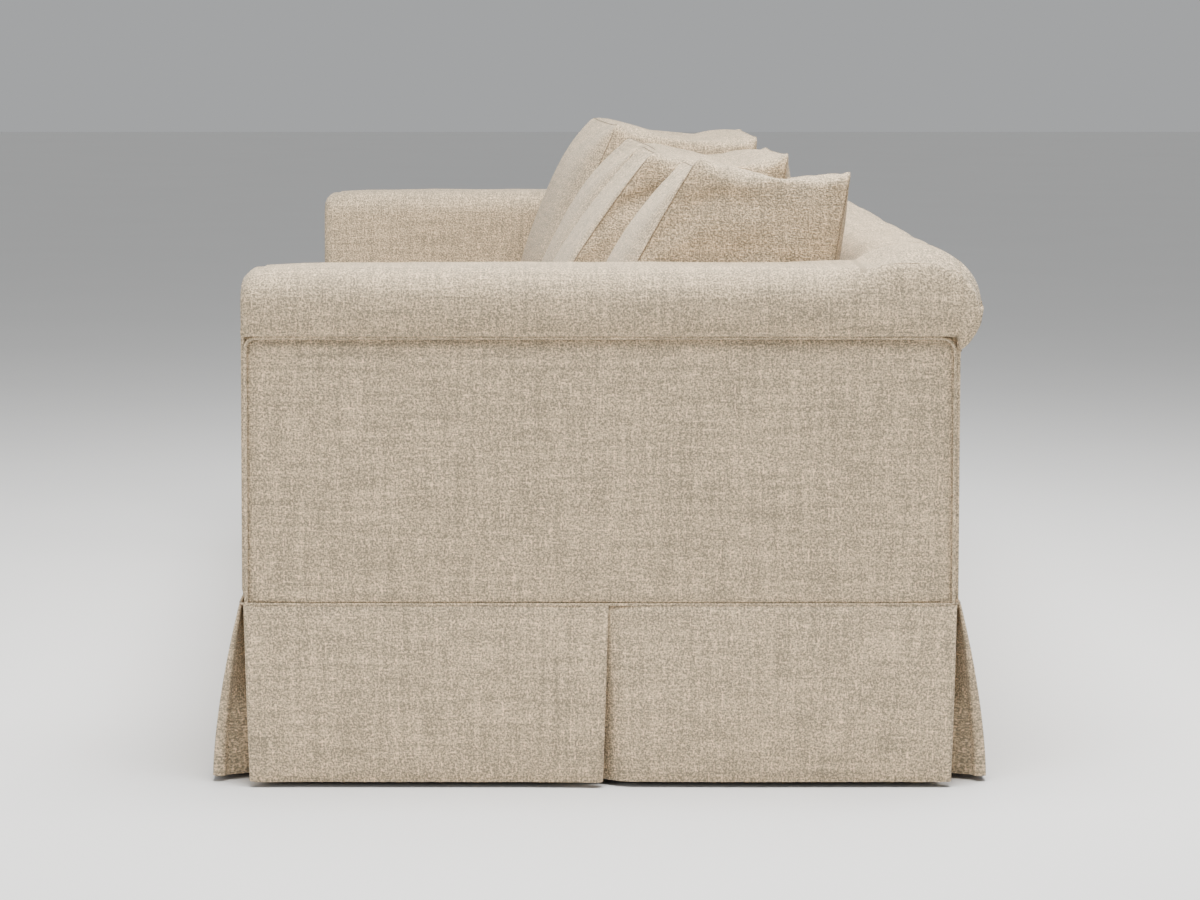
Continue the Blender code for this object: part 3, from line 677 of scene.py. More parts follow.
def roll_seam(y):
    """Level of the seam between an arm's roll and the roll of the back."""
    high = ARM_TOP + FACING_RISE * facing_share(y)
    return min(arm_top(y), BACK_ROLL_Z + (high - BACK_ROLL_Z) * math.sqrt(1 - around_roll(y) ** 2))


def roll_rounding(y):
    """Width and height over which an arm's roll rounds off at y."""
    drop = roll_half(y) if y > BACK_FACE else BACK_ROLL_Z - ARM_SEAM
    tall = roll_seam(y) - BACK_ROLL_Z + drop
    wide = min(between(ARM_ROLL, FACING_ROUND, facing_share(y)), 1.1 * tall)
    return wide, min(ARM_ROLL, ROUND_SHARE * tall)


def arm_outline(y, beyond_back, rim=False):
    """(u, z) around an arm at y, and each point's edge rounding at the front facing.

    The outer face lies behind the outside panel, and comes out beside it at the rim.
    """
    top = arm_top(y) - FRONT_DROP * math.exp(-(y - FRONT_FACE) / FRONT_DROP_RUN)
    back_seam = BACK_ROLL_Z - roll_half(y)
    seam = back_seam if beyond_back else SEAM_LEVEL + SEAM_GAP
    if rim and y > 0:
        seam = between(seam, back_seam, ease((y - BACK_FACE + PANEL_RIM) / PANEL_RIM))
    foot = seam if beyond_back else LEG_TOP
    edge = min(top, roll_seam(y))
    most = ROUND_SHARE * (edge - seam)
    lip = max(0.0, (y - (BACK_END - LIP)) / LIP)
    outer = HALF_LENGTH + ARM_OVERHANG - LIP * (1 - math.sqrt(max(0.0, 1 - lip * lip)))
    low_u = ARM_OVERHANG
    ledge = HALF_LENGTH - (RIM_RECESS if rim else PANEL_RECESS)
    if beyond_back:
        low_u = between(ARM_OVERHANG + RIM_RECESS, REAR_LEDGE, ease((y - BACK_FACE) / 0.012))
        ledge = outer - low_u
    low_z = min(ARM_ROLL_Z - ARM_SEAM, most)
    inner_u = between(INNER_ROUND, INNER_SHARP, ease((y - INNER_TURN_START) / INNER_TURN_RUN))
    inner_z = min(inner_u, most)
    top_u, top_z = roll_rounding(y)
    top_z = min(top_z, most)
    crest = outer - top_u
    dome = between(DOME, DOME_END, around_roll(y))
    points = [(ARM_INNER, foot)]
    points += straight(points[-1], (ARM_INNER, top - inner_z), 22)
    points += corner_arc(points[-1], (ARM_INNER + inner_u, top), (ARM_INNER + inner_u, top - inner_z), 9)
    points += straight(points[-1], (crest - dome, top), 3)
    points += [(crest - dome * (1 - k / 9), top - (top - edge) * (k / 9) ** 2) for k in range(1, 10)]
    points += corner_arc(points[-1], (outer, edge - top_z), (crest, edge - top_z), 14)
    points += straight(points[-1], (outer, seam + low_z), 4)
    points += corner_arc(points[-1], (outer - low_u, seam), (outer - low_u, seam + low_z), 10)
    points += straight(points[-1], (ledge, seam), 2)
    points += straight(points[-1], (ledge, foot), 14)
    points += straight(points[-1], (ARM_INNER, foot), 8)[:-1]
    rounding = []
    for u, z in points:
        soft = u < HALF_LENGTH - 0.05 or z > SEAM_LEVEL + 0.002
        rounding.append(between(*SOFT_EDGE, ease((z - 0.50) / 0.16)) if soft else RIM_EDGE)
    return points, rounding


def under_skirt(ring, side):
    """Ring of an arm, drawn in where the skirt covers it."""
    out = []
    for x, y, z in ring:
        if z < SKIRT_TOP:
            tuck = ease((SKIRT_TOP - 0.004 - z) / 0.012)
            reach = BACK_FACE - BODY_TUCK * tuck
            x, y = side * min(side * x, HALF_LENGTH - 0.008 * tuck), max(-reach, min(reach, y))
        out.append((x, y, z))
    return out


def inset(points, amounts):
    """Closed outline with each point moved in by its amount."""
    count = len(points)
    pts = [Vector(p) for p in points]
    out = []
    for i, p in enumerate(pts):
        before = pts[i - 1]
        after = pts[(i + 1) % count]
        tangent = (after - before)
        if tangent.length < 1e-9:
            out.append(p)
            continue
        tangent.normalize()
        out.append(p + Vector((tangent.y, -tangent.x)) * amounts[i])
    return out


def lay_arm_cloth(obj, side):
    """Cloth coordinates that run on round the roll: along the arm, and round from its outer face."""
    lay_cloth(obj)
    layer = obj.data.uv_layers["cloth"]
    reach = ARM_ROLL * math.pi / 2
    for face in obj.data.polygons:
        if abs(face.normal.y) > 0.6:
            continue
        for loop in face.loop_indices:
            x, y, z = obj.data.vertices[obj.data.loops[loop].vertex_index].co
            u = abs(x)
            if z < ARM_ROLL_Z or y > ROLL_CLOTH_END or face.normal.x * side < -0.6:
                continue
            over = u - (HALF_LENGTH + ARM_OVERHANG - ARM_ROLL)
            if over > 0:
                round_it = ARM_ROLL_Z + ARM_ROLL * math.atan2(z - ARM_ROLL_Z, over)
            else:
                round_it = ARM_ROLL_Z + reach - over
            layer.data[loop].uv = (y, round_it)


def arm_front_rings(side):
    """Rings of the front facing, from its middle out over its rounded edge."""
    front, rounding = arm_outline(FRONT_FACE, False, True)
    middle_u = (ARM_INNER + HALF_LENGTH) / 2 + 0.006
    innermost = inset(front, rounding)
    rings = []
    for share in (0.55, 0.3, 0.12):
        ring = []
        for p in innermost:
            spine = Vector((middle_u, min(ARM_TOP - 0.10, max(LEG_TOP + 0.07, p.y))))
            q = p.lerp(spine, share)
            ring.append((side * q.x, FRONT_FACE - FRONT_SWELL * (1 - (1 - share) ** 2), q.y))
        rings.append(ring)
    for step in range(8):
        a = math.pi / 2 * step / 8
        moved = inset(front, [r * (1 - math.sin(a)) for r in rounding])
        run = [r * (1 - math.cos(a)) for r in rounding]
        rings.append([(side * p.x, FRONT_FACE + r, p.y) for p, r in zip(moved, run)])
    behind, _ = arm_outline(FRONT_FACE, False)
    for outline, share in ((front, 0.3), (behind, 0.6)):
        ring = []
        for (u, z), r in zip(outline, rounding):
            run = r + (FRONT_RUN - r) * share if r > RIM_EDGE else PANEL_RIM - 0.0006 + 0.002 * share
            ring.append((side * u, FRONT_FACE + run, z))
        rings.append(ring)
    return rings


def arm_body_rings(side):
    """Rings along the arm, from behind its front facing to the face of the back."""
    rim = BACK_FACE - PANEL_RIM
    stations = [*np.linspace(FRONT_FACE + FRONT_RUN, 0.290, 46), *np.linspace(0.302, 0.440, 16),
                *np.linspace(0.450, rim - 0.0004, 6), rim + 0.0002, BACK_FACE - 0.002, BACK_FACE]
    rings = []
    for y in map(float, stations):
        top = arm_top(y)
        over = max(0.0, back_over(y) - top)
        ring = []
        for u, z in arm_outline(y, False, y > rim)[0]:
            lift = 0.0
            if u < HALF_LENGTH - 0.006 or z > SEAM_LEVEL + 0.004:
                place = (u * side, y, z)
                lift = 0.0011 * ruffle(place, 0.10, 3.1) + 0.0006 * ruffle(place, 0.035, 7.7)
                lift *= ease((y - FRONT_FACE) / 0.08) * ease((z - 0.45) / 0.1)
            meet = over * (1 - ease((u - ARM_INNER) / 0.09)) * ease((z - top + 0.06) / 0.05)
            ring.append((side * (u + (lift if u > ARM_INNER + 0.1 else 0.0)), y, z + lift + meet))
        rings.append(ring)
    return rings


def arm_back_rings(side):
    """Rings at the face of the back, then on round the end of its roll."""
    outline, _ = arm_outline(BACK_FACE, False, True)
    rings = [[(side * u, BACK_FACE, max(z, SKIRT_TOP - drop)) for u, z in outline]
             for drop in (0.016, 0.010, 0.004)]
    for phi in np.linspace(ROLL_START, 0.06, 14):
        y = BACK_ROLL_Y + BACK_ROLL * math.cos(phi)
        rings.append([(side * u, y, z) for u, z in arm_outline(y, True)[0]])
    return rings


def facing_seam(section, side, arm):
    """Welt where the roll of an arm meets its back facing, and on round the facing's end."""
    outer = HALF_LENGTH + ARM_OVERHANG
    turned = [BACK_ROLL_Y + SEAM_REACH * math.sin(math.radians(a)) for a in range(6, 91, 6)]
    line = []
    for y in (*np.linspace(FACING_SEAM_START, BACK_ROLL_Y, 8), *turned):
        line.append((side * (outer - roll_rounding(y)[0]), y, roll_seam(y)))
    for a in map(math.radians, range(-4, -53, -4)):
        x = between(line[-1][0], side * (outer - 0.008), 0.2)
        line.append((x, BACK_ROLL_Y + SEAM_REACH * math.cos(a), BACK_ROLL_Z + SEAM_REACH * math.sin(a)))
    line = [arm.closest_point_on_mesh(Vector(p))[1] for p in line]
    give_linen(welt(f"{section}_facing_seam", line, sizes().welt * 0.6), section)


def make_arm(section, side):
    """Rolled arm: rounded front facing, roll along the top, flat facing at the back end."""
    rings = arm_front_rings(side) + arm_body_rings(side) + arm_back_rings(side)
    bm = skin([under_skirt(ring, side) for ring in rings], cap_start=True, cap_end=True)
    bmesh.ops.remove_doubles(bm, verts=bm.verts, dist=1e-6)
    arm = mesh_object(f"{section}_arm", bm, 60.0)
    lay_arm_cloth(arm, side)
    give_linen(arm, section, f"{section}_arm_cover")
    facing_seam(section, side, arm)


class SOFA_OT_arms(bpy.types.Operator):
    """Upholster both arms"""
    bl_idname = "sofa.arms"
    bl_label = "Arms"

    def execute(self, context):
        for section, side in SIDES.items():
            make_arm(section, side)
        return {"FINISHED"}


# Outside arm panels

def make_outside_panel(section, side):
    """Gently padded panel below the roll, framed by a welt and drawn in at the skirt's seam."""
    low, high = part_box(f"{section}_outside_arm_panel")
    top = high.z + SEAM_LIFT
    columns, lines = 60, 34
    levels = [between(low.z, top, r / lines) for r in range(lines + 1)]
    levels = sorted(levels + [SKIRT_TOP + d for d in (-0.001, 0.001, 0.0025, 0.004, 0.0055, 0.008)])
    rings = []
    for c in range(columns + 1):
        y = between(low.y, high.y, c / columns)
        ring = []
        for z in levels:
            edge = min(y - low.y, high.y - y, 3 * (top - z))
            puff = sizes().panel_puff * ease(edge / PUFF_RUN) - EDGE_DROP * (1 - ease(edge / EDGE_RUN))
            puff += 0.0007 * ruffle((y, z, 0.0), 0.12, 11.0 * side) * ease(edge / 0.05)
            puff = between(SEAM_PINCH, puff, ease((z - SKIRT_TOP + 0.001) / PINCH_RUN))
            ring.append((side * (HALF_LENGTH + puff - 0.001), y, z))
        for z in (top, low.z):
            ring.append((side * (HALF_LENGTH - 0.006), y, z))
        rings.append(ring)
    panel = mesh_object(f"{section}_outside_panel", skin(rings, cap_start=True, cap_end=True), 60.0)
    give_linen(panel, section, f"{section}_outside_arm_panel")

    x = side * (HALF_LENGTH + 0.0004)
    front, back = low.y + 0.0008, high.y - 0.0016
    foot = LEG_TOP + 0.09
    top -= 0.0006
    turn_y, turn_z = back - PANEL_CORNER, top - PANEL_CORNER
    line = [(x, front, foot), (x, front, top - 0.004), (x, front + 0.004, top), (x, turn_y, top)]
    for a in (math.pi / 2 * k / 6 for k in range(1, 7)):
        line.append((x, turn_y + PANEL_CORNER * math.sin(a), turn_z + PANEL_CORNER * math.cos(a)))
    line.append((x, back, foot))
    give_linen(welt(f"{section}_panel_welt", line, sizes().welt), section)


class SOFA_OT_outside_panels(bpy.types.Operator):
    """Cover the outsides of the arms"""
    bl_idname = "sofa.outside_panels"
    bl_label = "Outside arm panels"

    def execute(self, context):
        for section, side in SIDES.items():
            make_outside_panel(section, side)
        return {"FINISHED"}


# Backs

def back_profile():
    """(y, z) around the back, from its foot at the seat over the roll to the foot outside."""
    foot = DECK_TOP + BACK_PLAY
    over = back_curve(CURVE_STEPS)
    points = [(back_inner(foot), foot)]
    points += straight(points[-1], over[0], FACE_STEPS)
    points += over[1:]
    for k in range(1, ROLL_STEPS + 1):
        a = between(math.pi / 2, -ROLL_START, k / ROLL_STEPS)
        points.append((BACK_ROLL_Y + BACK_ROLL * math.cos(a), BACK_ROLL_Z + BACK_ROLL * math.sin(a)))
    points += straight(points[-1], (BACK_FACE, LEG_TOP), FACE_STEPS)
    points += straight(points[-1], (BACK_FACE - BACK_WALL, LEG_TOP), 1)
    points += straight(points[-1], (BACK_FACE - BACK_WALL, foot), 6)
    points += straight(points[-1], points[0], 6)[:-1]
    return points


def make_back(section, side):
    """Raked back with a roll, its cloth a little slack over the top."""
    profile = back_profile()
    count = len(profile)
    roll_end = 1 + FACE_STEPS + CURVE_STEPS + ROLL_STEPS
    end = ARM_INNER - BACK_PLAY
    stations = [(JOIN_FACE, 1.0), (JOIN_FACE + 0.0015, 0.45), (JOIN_FACE + 0.005, 0.0)]
    stations += [(float(u), 0.0) for u in np.linspace(JOIN_FACE + 0.02, end - 0.02, 62)] + [(end, 0.0)]
    rings = []
    for u, sharp in stations:
        amounts = [JOIN_ROUND * sharp if i < roll_end + FACE_STEPS else 0.0 for i in range(count)]
        moved = inset(profile, amounts)
        edge = ease((u - JOIN_FACE) / 0.06) * ease((end - u) / 0.04)
        ring = []
        for i, (y, z) in enumerate(moved):
            on_top = ease((z - 0.52) / 0.12) if i < roll_end - 6 else 0.0
            fold = BACK_FOLDS * ruffle((u + 0.8 * y, (y - 0.8 * u) * 0.3, z * 0.3), 0.070, 5.3 + side)
            fold += BACK_CREASES * ruffle((u, y * 0.6, z * 0.6), 0.026, 1.7 + side)
            fold = (fold - BACK_SLACK) * on_top * edge
            tangent = (Vector(moved[(i + 1) % count]) - Vector(moved[i - 1])).normalized()
            ring.append((side * u, y - tangent.y * fold, z + tangent.x * fold))
        rings.append(ring)
    back = mesh_object(f"{section}_back", skin(rings, cap_start=True, cap_end=True), 60.0)
    give_linen(back, section, f"{section}_back_cover")
    seam_z = BACK_ROLL_Z - BACK_ROLL * math.sin(ROLL_START) - 0.001
    line = [(side * u, BACK_FACE + 0.0006, seam_z) for u in (JOIN_FACE + 0.003, HALF_LENGTH - 0.012)]
    give_linen(welt(f"{section}_back_welt", line, sizes().welt), section)


class SOFA_OT_backs(bpy.types.Operator):
    """Upholster both backs"""
    bl_idname = "sofa.backs"
    bl_label = "Backs"

    def execute(self, context):
        for section, side in SIDES.items():
            make_back(section, side)
        return {"FINISHED"}


# Front borders, seat decks and dust covers

def padded_block(name, low, high, edge, crown=0.0):
    """Block cut into cells, with soft edges and a crowned top."""
    size = [h - l for l, h in zip(low, high)]
    bpy.ops.object.select_all(action="DESELECT")
    bpy.ops.mesh.primitive_cube_add(size=1.0, location=[(l + h) / 2 for l, h in zip(low, high)], scale=size)
    obj = bpy.context.object
    obj.name = obj.data.name = name
    bpy.ops.object.transform_apply(location=True, rotation=True, scale=True)
    bpy.ops.object.mode_set(mode="EDIT")
    bpy.ops.mesh.select_all(action="SELECT")
    bpy.ops.mesh.subdivide(number_cuts=BLOCK_CUTS)
    bpy.ops.object.mode_set(mode="OBJECT")
    soft = obj.modifiers.new("soft_edges", "BEVEL")
    soft.width, soft.segments, soft.limit_method, soft.angle_limit = edge, 3, "ANGLE", math.radians(40)
    apply_modifiers(obj)
    for v in obj.data.vertices:
        shares = [(c - l) / s for c, l, s in zip(v.co, low, size)]
        fullness = 16 * shares[0] * (1 - shares[0]) * shares[1] * (1 - shares[1])
        v.co.z -= crown * (1 - fullness) * max(0.0, shares[2])
    bpy.ops.object.shade_smooth_by_angle(angle=math.radians(50))
    lay_cloth(obj)
    return obj


class SOFA_OT_borders_and_decks(bpy.types.Operator):
    """Pad the front borders and the seat decks, and close the base with cloth"""
    bl_idname = "sofa.borders_and_decks"
    bl_label = "Front borders, decks and dust covers"

    def execute(self, context):
        for section in SIDES:
            body = f"{section}_section"
            border = padded_block(f"{section}_border", *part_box(f"{section}_front_border"), BORDER_EDGE)
            give_linen(border, section, f"{section}_front_border")
            deck = padded_block(f"{section}_deck", *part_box(f"{section}_seat_deck"), DECK_EDGE, DECK_CROWN)
            give_piece(deck, body, "decking", "decking_cloth", f"{section}_seat_deck")
            self.dust_cover(section, body)
        return {"FINISHED"}

    def dust_cover(self, section, body):
        low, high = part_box(f"{section}_dust_cover")
        width, depth = high.x - low.x, high.y - low.y
        bpy.ops.object.select_all(action="DESELECT")
        middle = ((low.x + high.x) / 2, (low.y + high.y) / 2, high.z - 0.0004)
        bpy.ops.mesh.primitive_grid_add(x_subdivisions=40, y_subdivisions=32, size=1.0, location=middle,
                                        scale=(width, depth, 1.0))
        cover = bpy.context.object
        cover.name = cover.data.name = f"{section}_dust_cloth"
        bpy.ops.object.transform_apply(location=True, rotation=True, scale=True)
        for v in cover.data.vertices:
            a = (v.co.x - low.x) / width
            b = (v.co.y - low.y) / depth
            v.co.z -= DUST_SAG * max(0.0, 16 * a * (1 - a) * b * (1 - b)) ** 0.6
        wall = cover.modifiers.new("wall", "SOLIDIFY")
        wall.thickness, wall.offset = DUST_WALL, -1.0
        apply_modifiers(cover)
        bpy.ops.object.shade_smooth_by_angle(angle=math.radians(50))
        lay_cloth(cover)
        give_piece(cover, body, "dust_cloth", "black_dust_cloth", f"{section}_dust_cover")


# Skirts

def corner_edge(seam_s, hem_s, way, turn_in):
    """Cloth turned in at a corner, in a fold that opens towards the hem.

    way is +1 where the panel runs on towards larger s. A point has its place along the seam and out
    from the body at the seam, the same two at the hem, and how far it tucks in under the body.
    """
    tight, full = (LAYERS[1] - LAYERS[0]) / 2, CORNER_FOLD
    points = [(seam_s + way * turn_in, LAYERS[0], hem_s + way * turn_in, LAYERS[0], 1.0),
              (seam_s + way * 0.004, LAYERS[0],
               hem_s + way * (full + 0.004), FLARE - 2 * full - 0.002, 0.0)]
    for k in range(9):
        a = math.pi * k / 8
        points.append((seam_s + way * tight * (1 - math.sin(a)), LAYERS[0] + tight * (1 - math.cos(a)),
                       hem_s + way * full * (1 - math.sin(a)), FLARE - full * (1 + math.cos(a)), 0.0))
    points.append((seam_s + way * 0.008, LAYERS[1], hem_s + way * (full + 0.008), FLARE, 0.0))
    return points


def knife_pleat(s):
    """Pleat at s: the panel before it laps over the panel after it, and opens towards the hem."""
    turn, open_turn = (LAYERS[1] - LAYERS[0]) / 2, PLEAT_OPENING / 2
    hem = s - PLEAT_SWING
    outer = FLARE + PLEAT_PROUD
    middle = outer - PLEAT_OPENING
    inner = middle - PLEAT_OPENING
    under, hem_under = s - PLEAT_DEPTH, s - PLEAT_DEPTH - PLEAT_SWING

    def turned(at, hem_at, way, layer, depth):
        for a in (math.pi * k / 6 for k in range(7)):
            yield (at + way * turn * math.sin(a), layer + turn * (1 + math.cos(a)),
                   hem_at + way * open_turn * (math.sin(a) - 1), depth + open_turn * (1 + math.cos(a)), 0.0)

    points = [(s - PLEAT_RAMP, LAYERS[1], s - PLEAT_RAMP, FLARE, 0.0),
              (s - 0.008, LAYERS[2], hem - 0.008, outer, 0.0),
              *turned(s, hem, 1, LAYERS[1], middle),
              (s - 0.008, LAYERS[1], hem - 0.012, middle, 0.0),
              (under + 0.008, LAYERS[1], hem_under + 0.012, middle, 0.0),
              *turned(under, hem_under, -1, LAYERS[0], inner),
              (under + 0.008, LAYERS[0], hem_under + 0.012, inner, 0.0)]
    for further, share in ((-0.005, 0.0), (0.005, 0.40), (0.016, 0.76), (0.034, 0.94), (PLEAT_RAMP, 1.0)):
        points.append((s + further, between(LAYERS[0], LAYERS[1], share),
                       s + further, between(inner, FLARE, share), 0.0))
    return points


def finer_path(path):
    """Plan path with close points and rounded turns."""
    pts = [np.array(p) for p in path]
    dense = [pts[0]]
    for a, b in zip(pts, pts[1:]):
        steps = max(1, math.ceil(abs(b - a)[:4].max() / 0.012))
        dense += [a + (b - a) * k / steps for k in range(1, steps + 1)]
    for _ in range(2):
        cut = [dense[0]]
        for a, b in zip(dense, dense[1:]):
            if abs(b - a)[:4].max() > 0.0075:
                cut += [a * 0.85 + b * 0.15, a * 0.15 + b * 0.85]
            else:
                cut += [a * 0.75 + b * 0.25, a * 0.25 + b * 0.75]
        cut.append(dense[-1])
        dense = [cut[0]]
        for p in cut[1:]:
            if abs(p - dense[-1])[:4].max() > 0.0005:
                dense.append(p)
    return dense


def make_skirt(section, which, path, place, seed):
    """Lined cloth hung from the seam: rows of points between seam and hem, then its thickness."""
    path = finer_path(path)
    rows = []
    for r in range(SKIRT_LINES + 1):
        row = r / SKIRT_LINES
        mix = 1 - (1 - row) ** SKIRT_CURVE
        level = between(SKIRT_TOP, SKIRT_HEM, row)
        under_body = (BODY_TUCK - 0.002) * ease((SKIRT_TOP - 0.016 - level) / 0.03)
        under_body += (CORNER_MEET + LAYERS[0] - BODY_TUCK) * ease((LEG_TOP - 0.004 - level) / 0.035)
        ring = []
        for s0, n0, s1, n1, tuck in path:
            s = between(s0, s1, row)
            wave = noise.noise(Vector((s / 0.16, seed, 0.0)))
            wave += 0.4 * noise.noise(Vector((s / 0.06, seed, row)))
            n = between(n0, n1, mix)
            if n1 > 0.012:
                n += max(sizes().hem_wave * row ** 1.3 * wave, -0.5 * n)
            ring.append(place(s, n - tuck * under_body, level))
        rows.append(ring)
    skirt = mesh_object(f"{section}_{which}_skirt", skin(rows, closed=False), 80.0)
    wall = skirt.modifiers.new("lined", "SOLIDIFY")
    wall.thickness, wall.offset, wall.use_even_offset = sizes().cloth, 0.0, False
    apply_modifiers(skirt)
    give_linen(skirt, section, f"{section}_skirt_{which}")


def make_skirts(section, side):
    """End, front and back skirts with the welt that they hang from."""
    front, back = FRONT_FACE + CORNER_SETBACK, BACK_FACE - CORNER_SETBACK
    turn_in = CORNER_MEET - CORNER_SETBACK - END_TAPER
    path = [*corner_edge(front, front + END_TAPER, 1, turn_in), *knife_pleat(END_PLEAT),
            *reversed(corner_edge(back, back - END_TAPER, -1, turn_in))]
    make_skirt(section, "end", path, lambda s, n, z: (side * (HALF_LENGTH + n), s, z), 2.3 * side)
    corner = HALF_LENGTH - CORNER_SETBACK
    middle = (JOIN_FACE + HALF_LENGTH) / 2
    for which, face, way in (("front", FRONT_FACE, -1), ("back", BACK_FACE, 1)):
        path = [(JOIN_FACE, LAYERS[1], JOIN_FACE, FLARE, 0.0), *knife_pleat(middle),
                *reversed(corner_edge(corner, corner + LONG_SPREAD, -1, CORNER_MEET + 0.001))]
        make_skirt(section, which, path,
                   lambda s, n, z, face=face, way=way: (side * s, face + way * n, z), 5.1 * side + way)

    def out(s, pleat):
        """How far the welt stands out, with a rise over the pleat's layers."""
        return WELT_OUT + WELT_RISE * math.exp(-((s - pleat + 0.03) / 0.05) ** 2)

    z = SKIRT_TOP + 0.0012
    along = np.linspace(JOIN_FACE + 0.002, HALF_LENGTH, 60)
    line = [(side * u, FRONT_FACE - out(u, middle), z) for u in along]
    line += [(side * (HALF_LENGTH + out(y, END_PLEAT)), y, z) for y in np.linspace(FRONT_FACE, BACK_FACE, 60)]
    line += [(side * u, BACK_FACE + out(u, middle), z) for u in along[::-1]]
    give_linen(welt(f"{section}_skirt_welt", line, sizes().welt * 0.8), section)


class SOFA_OT_skirts(bpy.types.Operator):
    """Hang the pleated skirts"""
    bl_idname = "sofa.skirts"
    bl_label = "Skirts"

    def execute(self, context):
        for section, side in SIDES.items():
            make_skirts(section, side)
        return {"FINISHED"}


# Cushions

def lattice_box(counts, spread):
    """Surface of a box of cells: places from -1 to 1 on three axes, faces, and each face's side."""
    lines = []
    for count in counts:
        t = np.linspace(-1.0, 1.0, count + 1)
        lines.append((1 - spread) * t + spread * np.sin(t * math.pi / 2))
    index, places, faces, sides = {}, [], [], []

    def corner(i, j, k):
        key = (i, j, k)
        if key not in index:
            index[key] = len(places)
            places.append((lines[0][i], lines[1][j], lines[2][k]))
        return index[key]

    for axis in range(3):
        first, second = OTHER_AXES[axis]
        for end in (0, counts[axis]):
            for i in range(counts[first]):
                for j in range(counts[second]):
                    quad = []
                    for di, dj in ((0, 0), (1, 0), (1, 1), (0, 1)):
                        key = [0, 0, 0]
                        key[axis], key[first], key[second] = end, i + di, j + dj
                        quad.append(corner(*key))
                    faces.append(quad)
                    sides.append(axis)
    return np.array(places), faces, sides


def loop_on(places, axis, end):
    """Indices around the edge of one side of a lattice box, in order."""
    first, second = OTHER_AXES[axis]
    on = [i for i, p in enumerate(places)
          if abs(p[axis] - end) < 1e-6 and max(abs(p[first]), abs(p[second])) > END]

    def turn(i):
        a, b = places[i][first], places[i][second]
        if b <= -END:
            return a + 1
        if a >= END:
            return 2 + b + 1
        if b >= END:
            return 4 + 1 - a
        return 6 + 1 - b

    return sorted(on, key=turn)


def cushion_object(name, faces, sides, points):
    """Mesh of a cushion's cover before it is filled, with its cloth laid panel by panel."""
    mesh = bpy.data.meshes.new(name)
    mesh.from_pydata([tuple(p) for p in points], [], faces)
    layer = mesh.uv_layers.new(name="cloth")
    for face, axis in zip(mesh.polygons, sides):
        for loop in face.loop_indices:
            layer.data[loop].uv = on_panel(points[mesh.loops[loop].vertex_index], axis)
    obj = new_object(name, mesh)
    bpy.ops.object.mode_set(mode="EDIT")
    bpy.ops.mesh.select_all(action="SELECT")
    bpy.ops.mesh.normals_make_consistent(inside=False)
    bpy.ops.object.mode_set(mode="OBJECT")
    return obj


def fill_cushion(obj, points, loops, places, axis, boxing, most):
    """Cloth simulation with the seams held and the boxing pushed less than the two big panels.

    Gives the filled points, none moved further than allowed.
    """
    scene = bpy.context.scene
    group = obj.vertex_groups.new(name="seams")
    group.add(sorted({*loops[0], *loops[1]}), 1.0, "REPLACE")
    push = obj.vertex_groups.new(name="push")
    for i, p in enumerate(places):
        push.add([i], 1.0 if abs(p[axis]) > END else boxing, "REPLACE")
    cloth = obj.modifiers.new("filling", "CLOTH")
    s = cloth.settings
    s.quality = 4
    s.mass = 0.4
    s.tension_stiffness = s.compression_stiffness = 12
    s.shear_stiffness = 4
    s.bending_stiffness = 0.3
    s.use_pressure = True
    s.uniform_pressure_force = 4.0
    s.vertex_group_pressure = "push"
    s.shrink_min = -0.006
    s.vertex_group_mass = "seams"
    s.effector_weights.gravity = 0.0
    cloth.collision_settings.use_collision = False
    cloth.point_cache.frame_start, cloth.point_cache.frame_end = 1, FILL_STEPS
    for step in range(1, FILL_STEPS + 1):
        scene.frame_set(step)
    filled = obj.evaluated_get(bpy.context.evaluated_depsgraph_get())
    result = np.array([v.co[:] for v in filled.to_mesh().vertices])
    filled.to_mesh_clear()
    obj.modifiers.remove(cloth)
    obj.vertex_groups.clear()
    scene.frame_set(1)
    move = result - points
    far = np.linalg.norm(move, axis=1, keepdims=True)
    soft = np.where(far > 1e-9, most * np.tanh(far / most) / np.maximum(far, 1e-9), 1.0)
    return points + move * soft


def finish_cushion(obj, points, loops, body, node):
    """Filled cover, one subdivision, and its two welts, in the linen darkened to paint the shade along the
    seams.
    """
    for v, p in zip(obj.data.vertices, points):
        v.co = p
    finer = obj.modifiers.new("finer", "SUBSURF")
    finer.levels = finer.render_levels = 1
    apply_modifiers(obj)
    bpy.ops.object.shade_smooth_by_angle(angle=math.radians(65))
    give_piece(obj, body, "linen", "oatmeal_linen", node)
    for number, loop in enumerate(loops):
        line = []
        for p in cord_path([points[i] for i in loop], True, SEAM_STEP):
            found, place, normal, _ = obj.closest_point_on_mesh(p)
            line.append(place - normal * 0.0002 if found else p)
        cord = welt(f"{obj.name}_seam_{number + 1}", line, sizes().cushion_welt, True, SEAM_STEP, 6)
        # The welt gets the darkened linen, a painted shade along the seam line.
        give_piece(cord, body, "linen", "seam_linen")


def seat_cover(half_width, half_depth, boxing):
    """Boxed seat cushion around its own middle: places, faces, sides, points, welt loops."""
    cell = sizes().cell
    counts = [round(2 * half_width / cell), round(2 * half_depth / cell), max(8, round(boxing / cell))]
    places, faces, sides = lattice_box(counts, CELL_SPREAD)
    points = []
    for a, b, c in places:
        crown = ((1 - a ** 4) * (1 - b ** 4)) ** 0.6
        share = (c + 1) / 2
        x = a * (half_width - 0.005 * (1 - b * b))
        y = b * half_depth - (0.006 * (1 - c * c) * (1 - a ** 4) if b <= -END else 0.0)
        z = boxing * share + (sizes().seat_crown * crown if c >= END else 0.0)
        points.append((x, y, z))
    return places, faces, sides, np.array(points), [loop_on(places, 2, end) for end in (1.0, -1.0)]


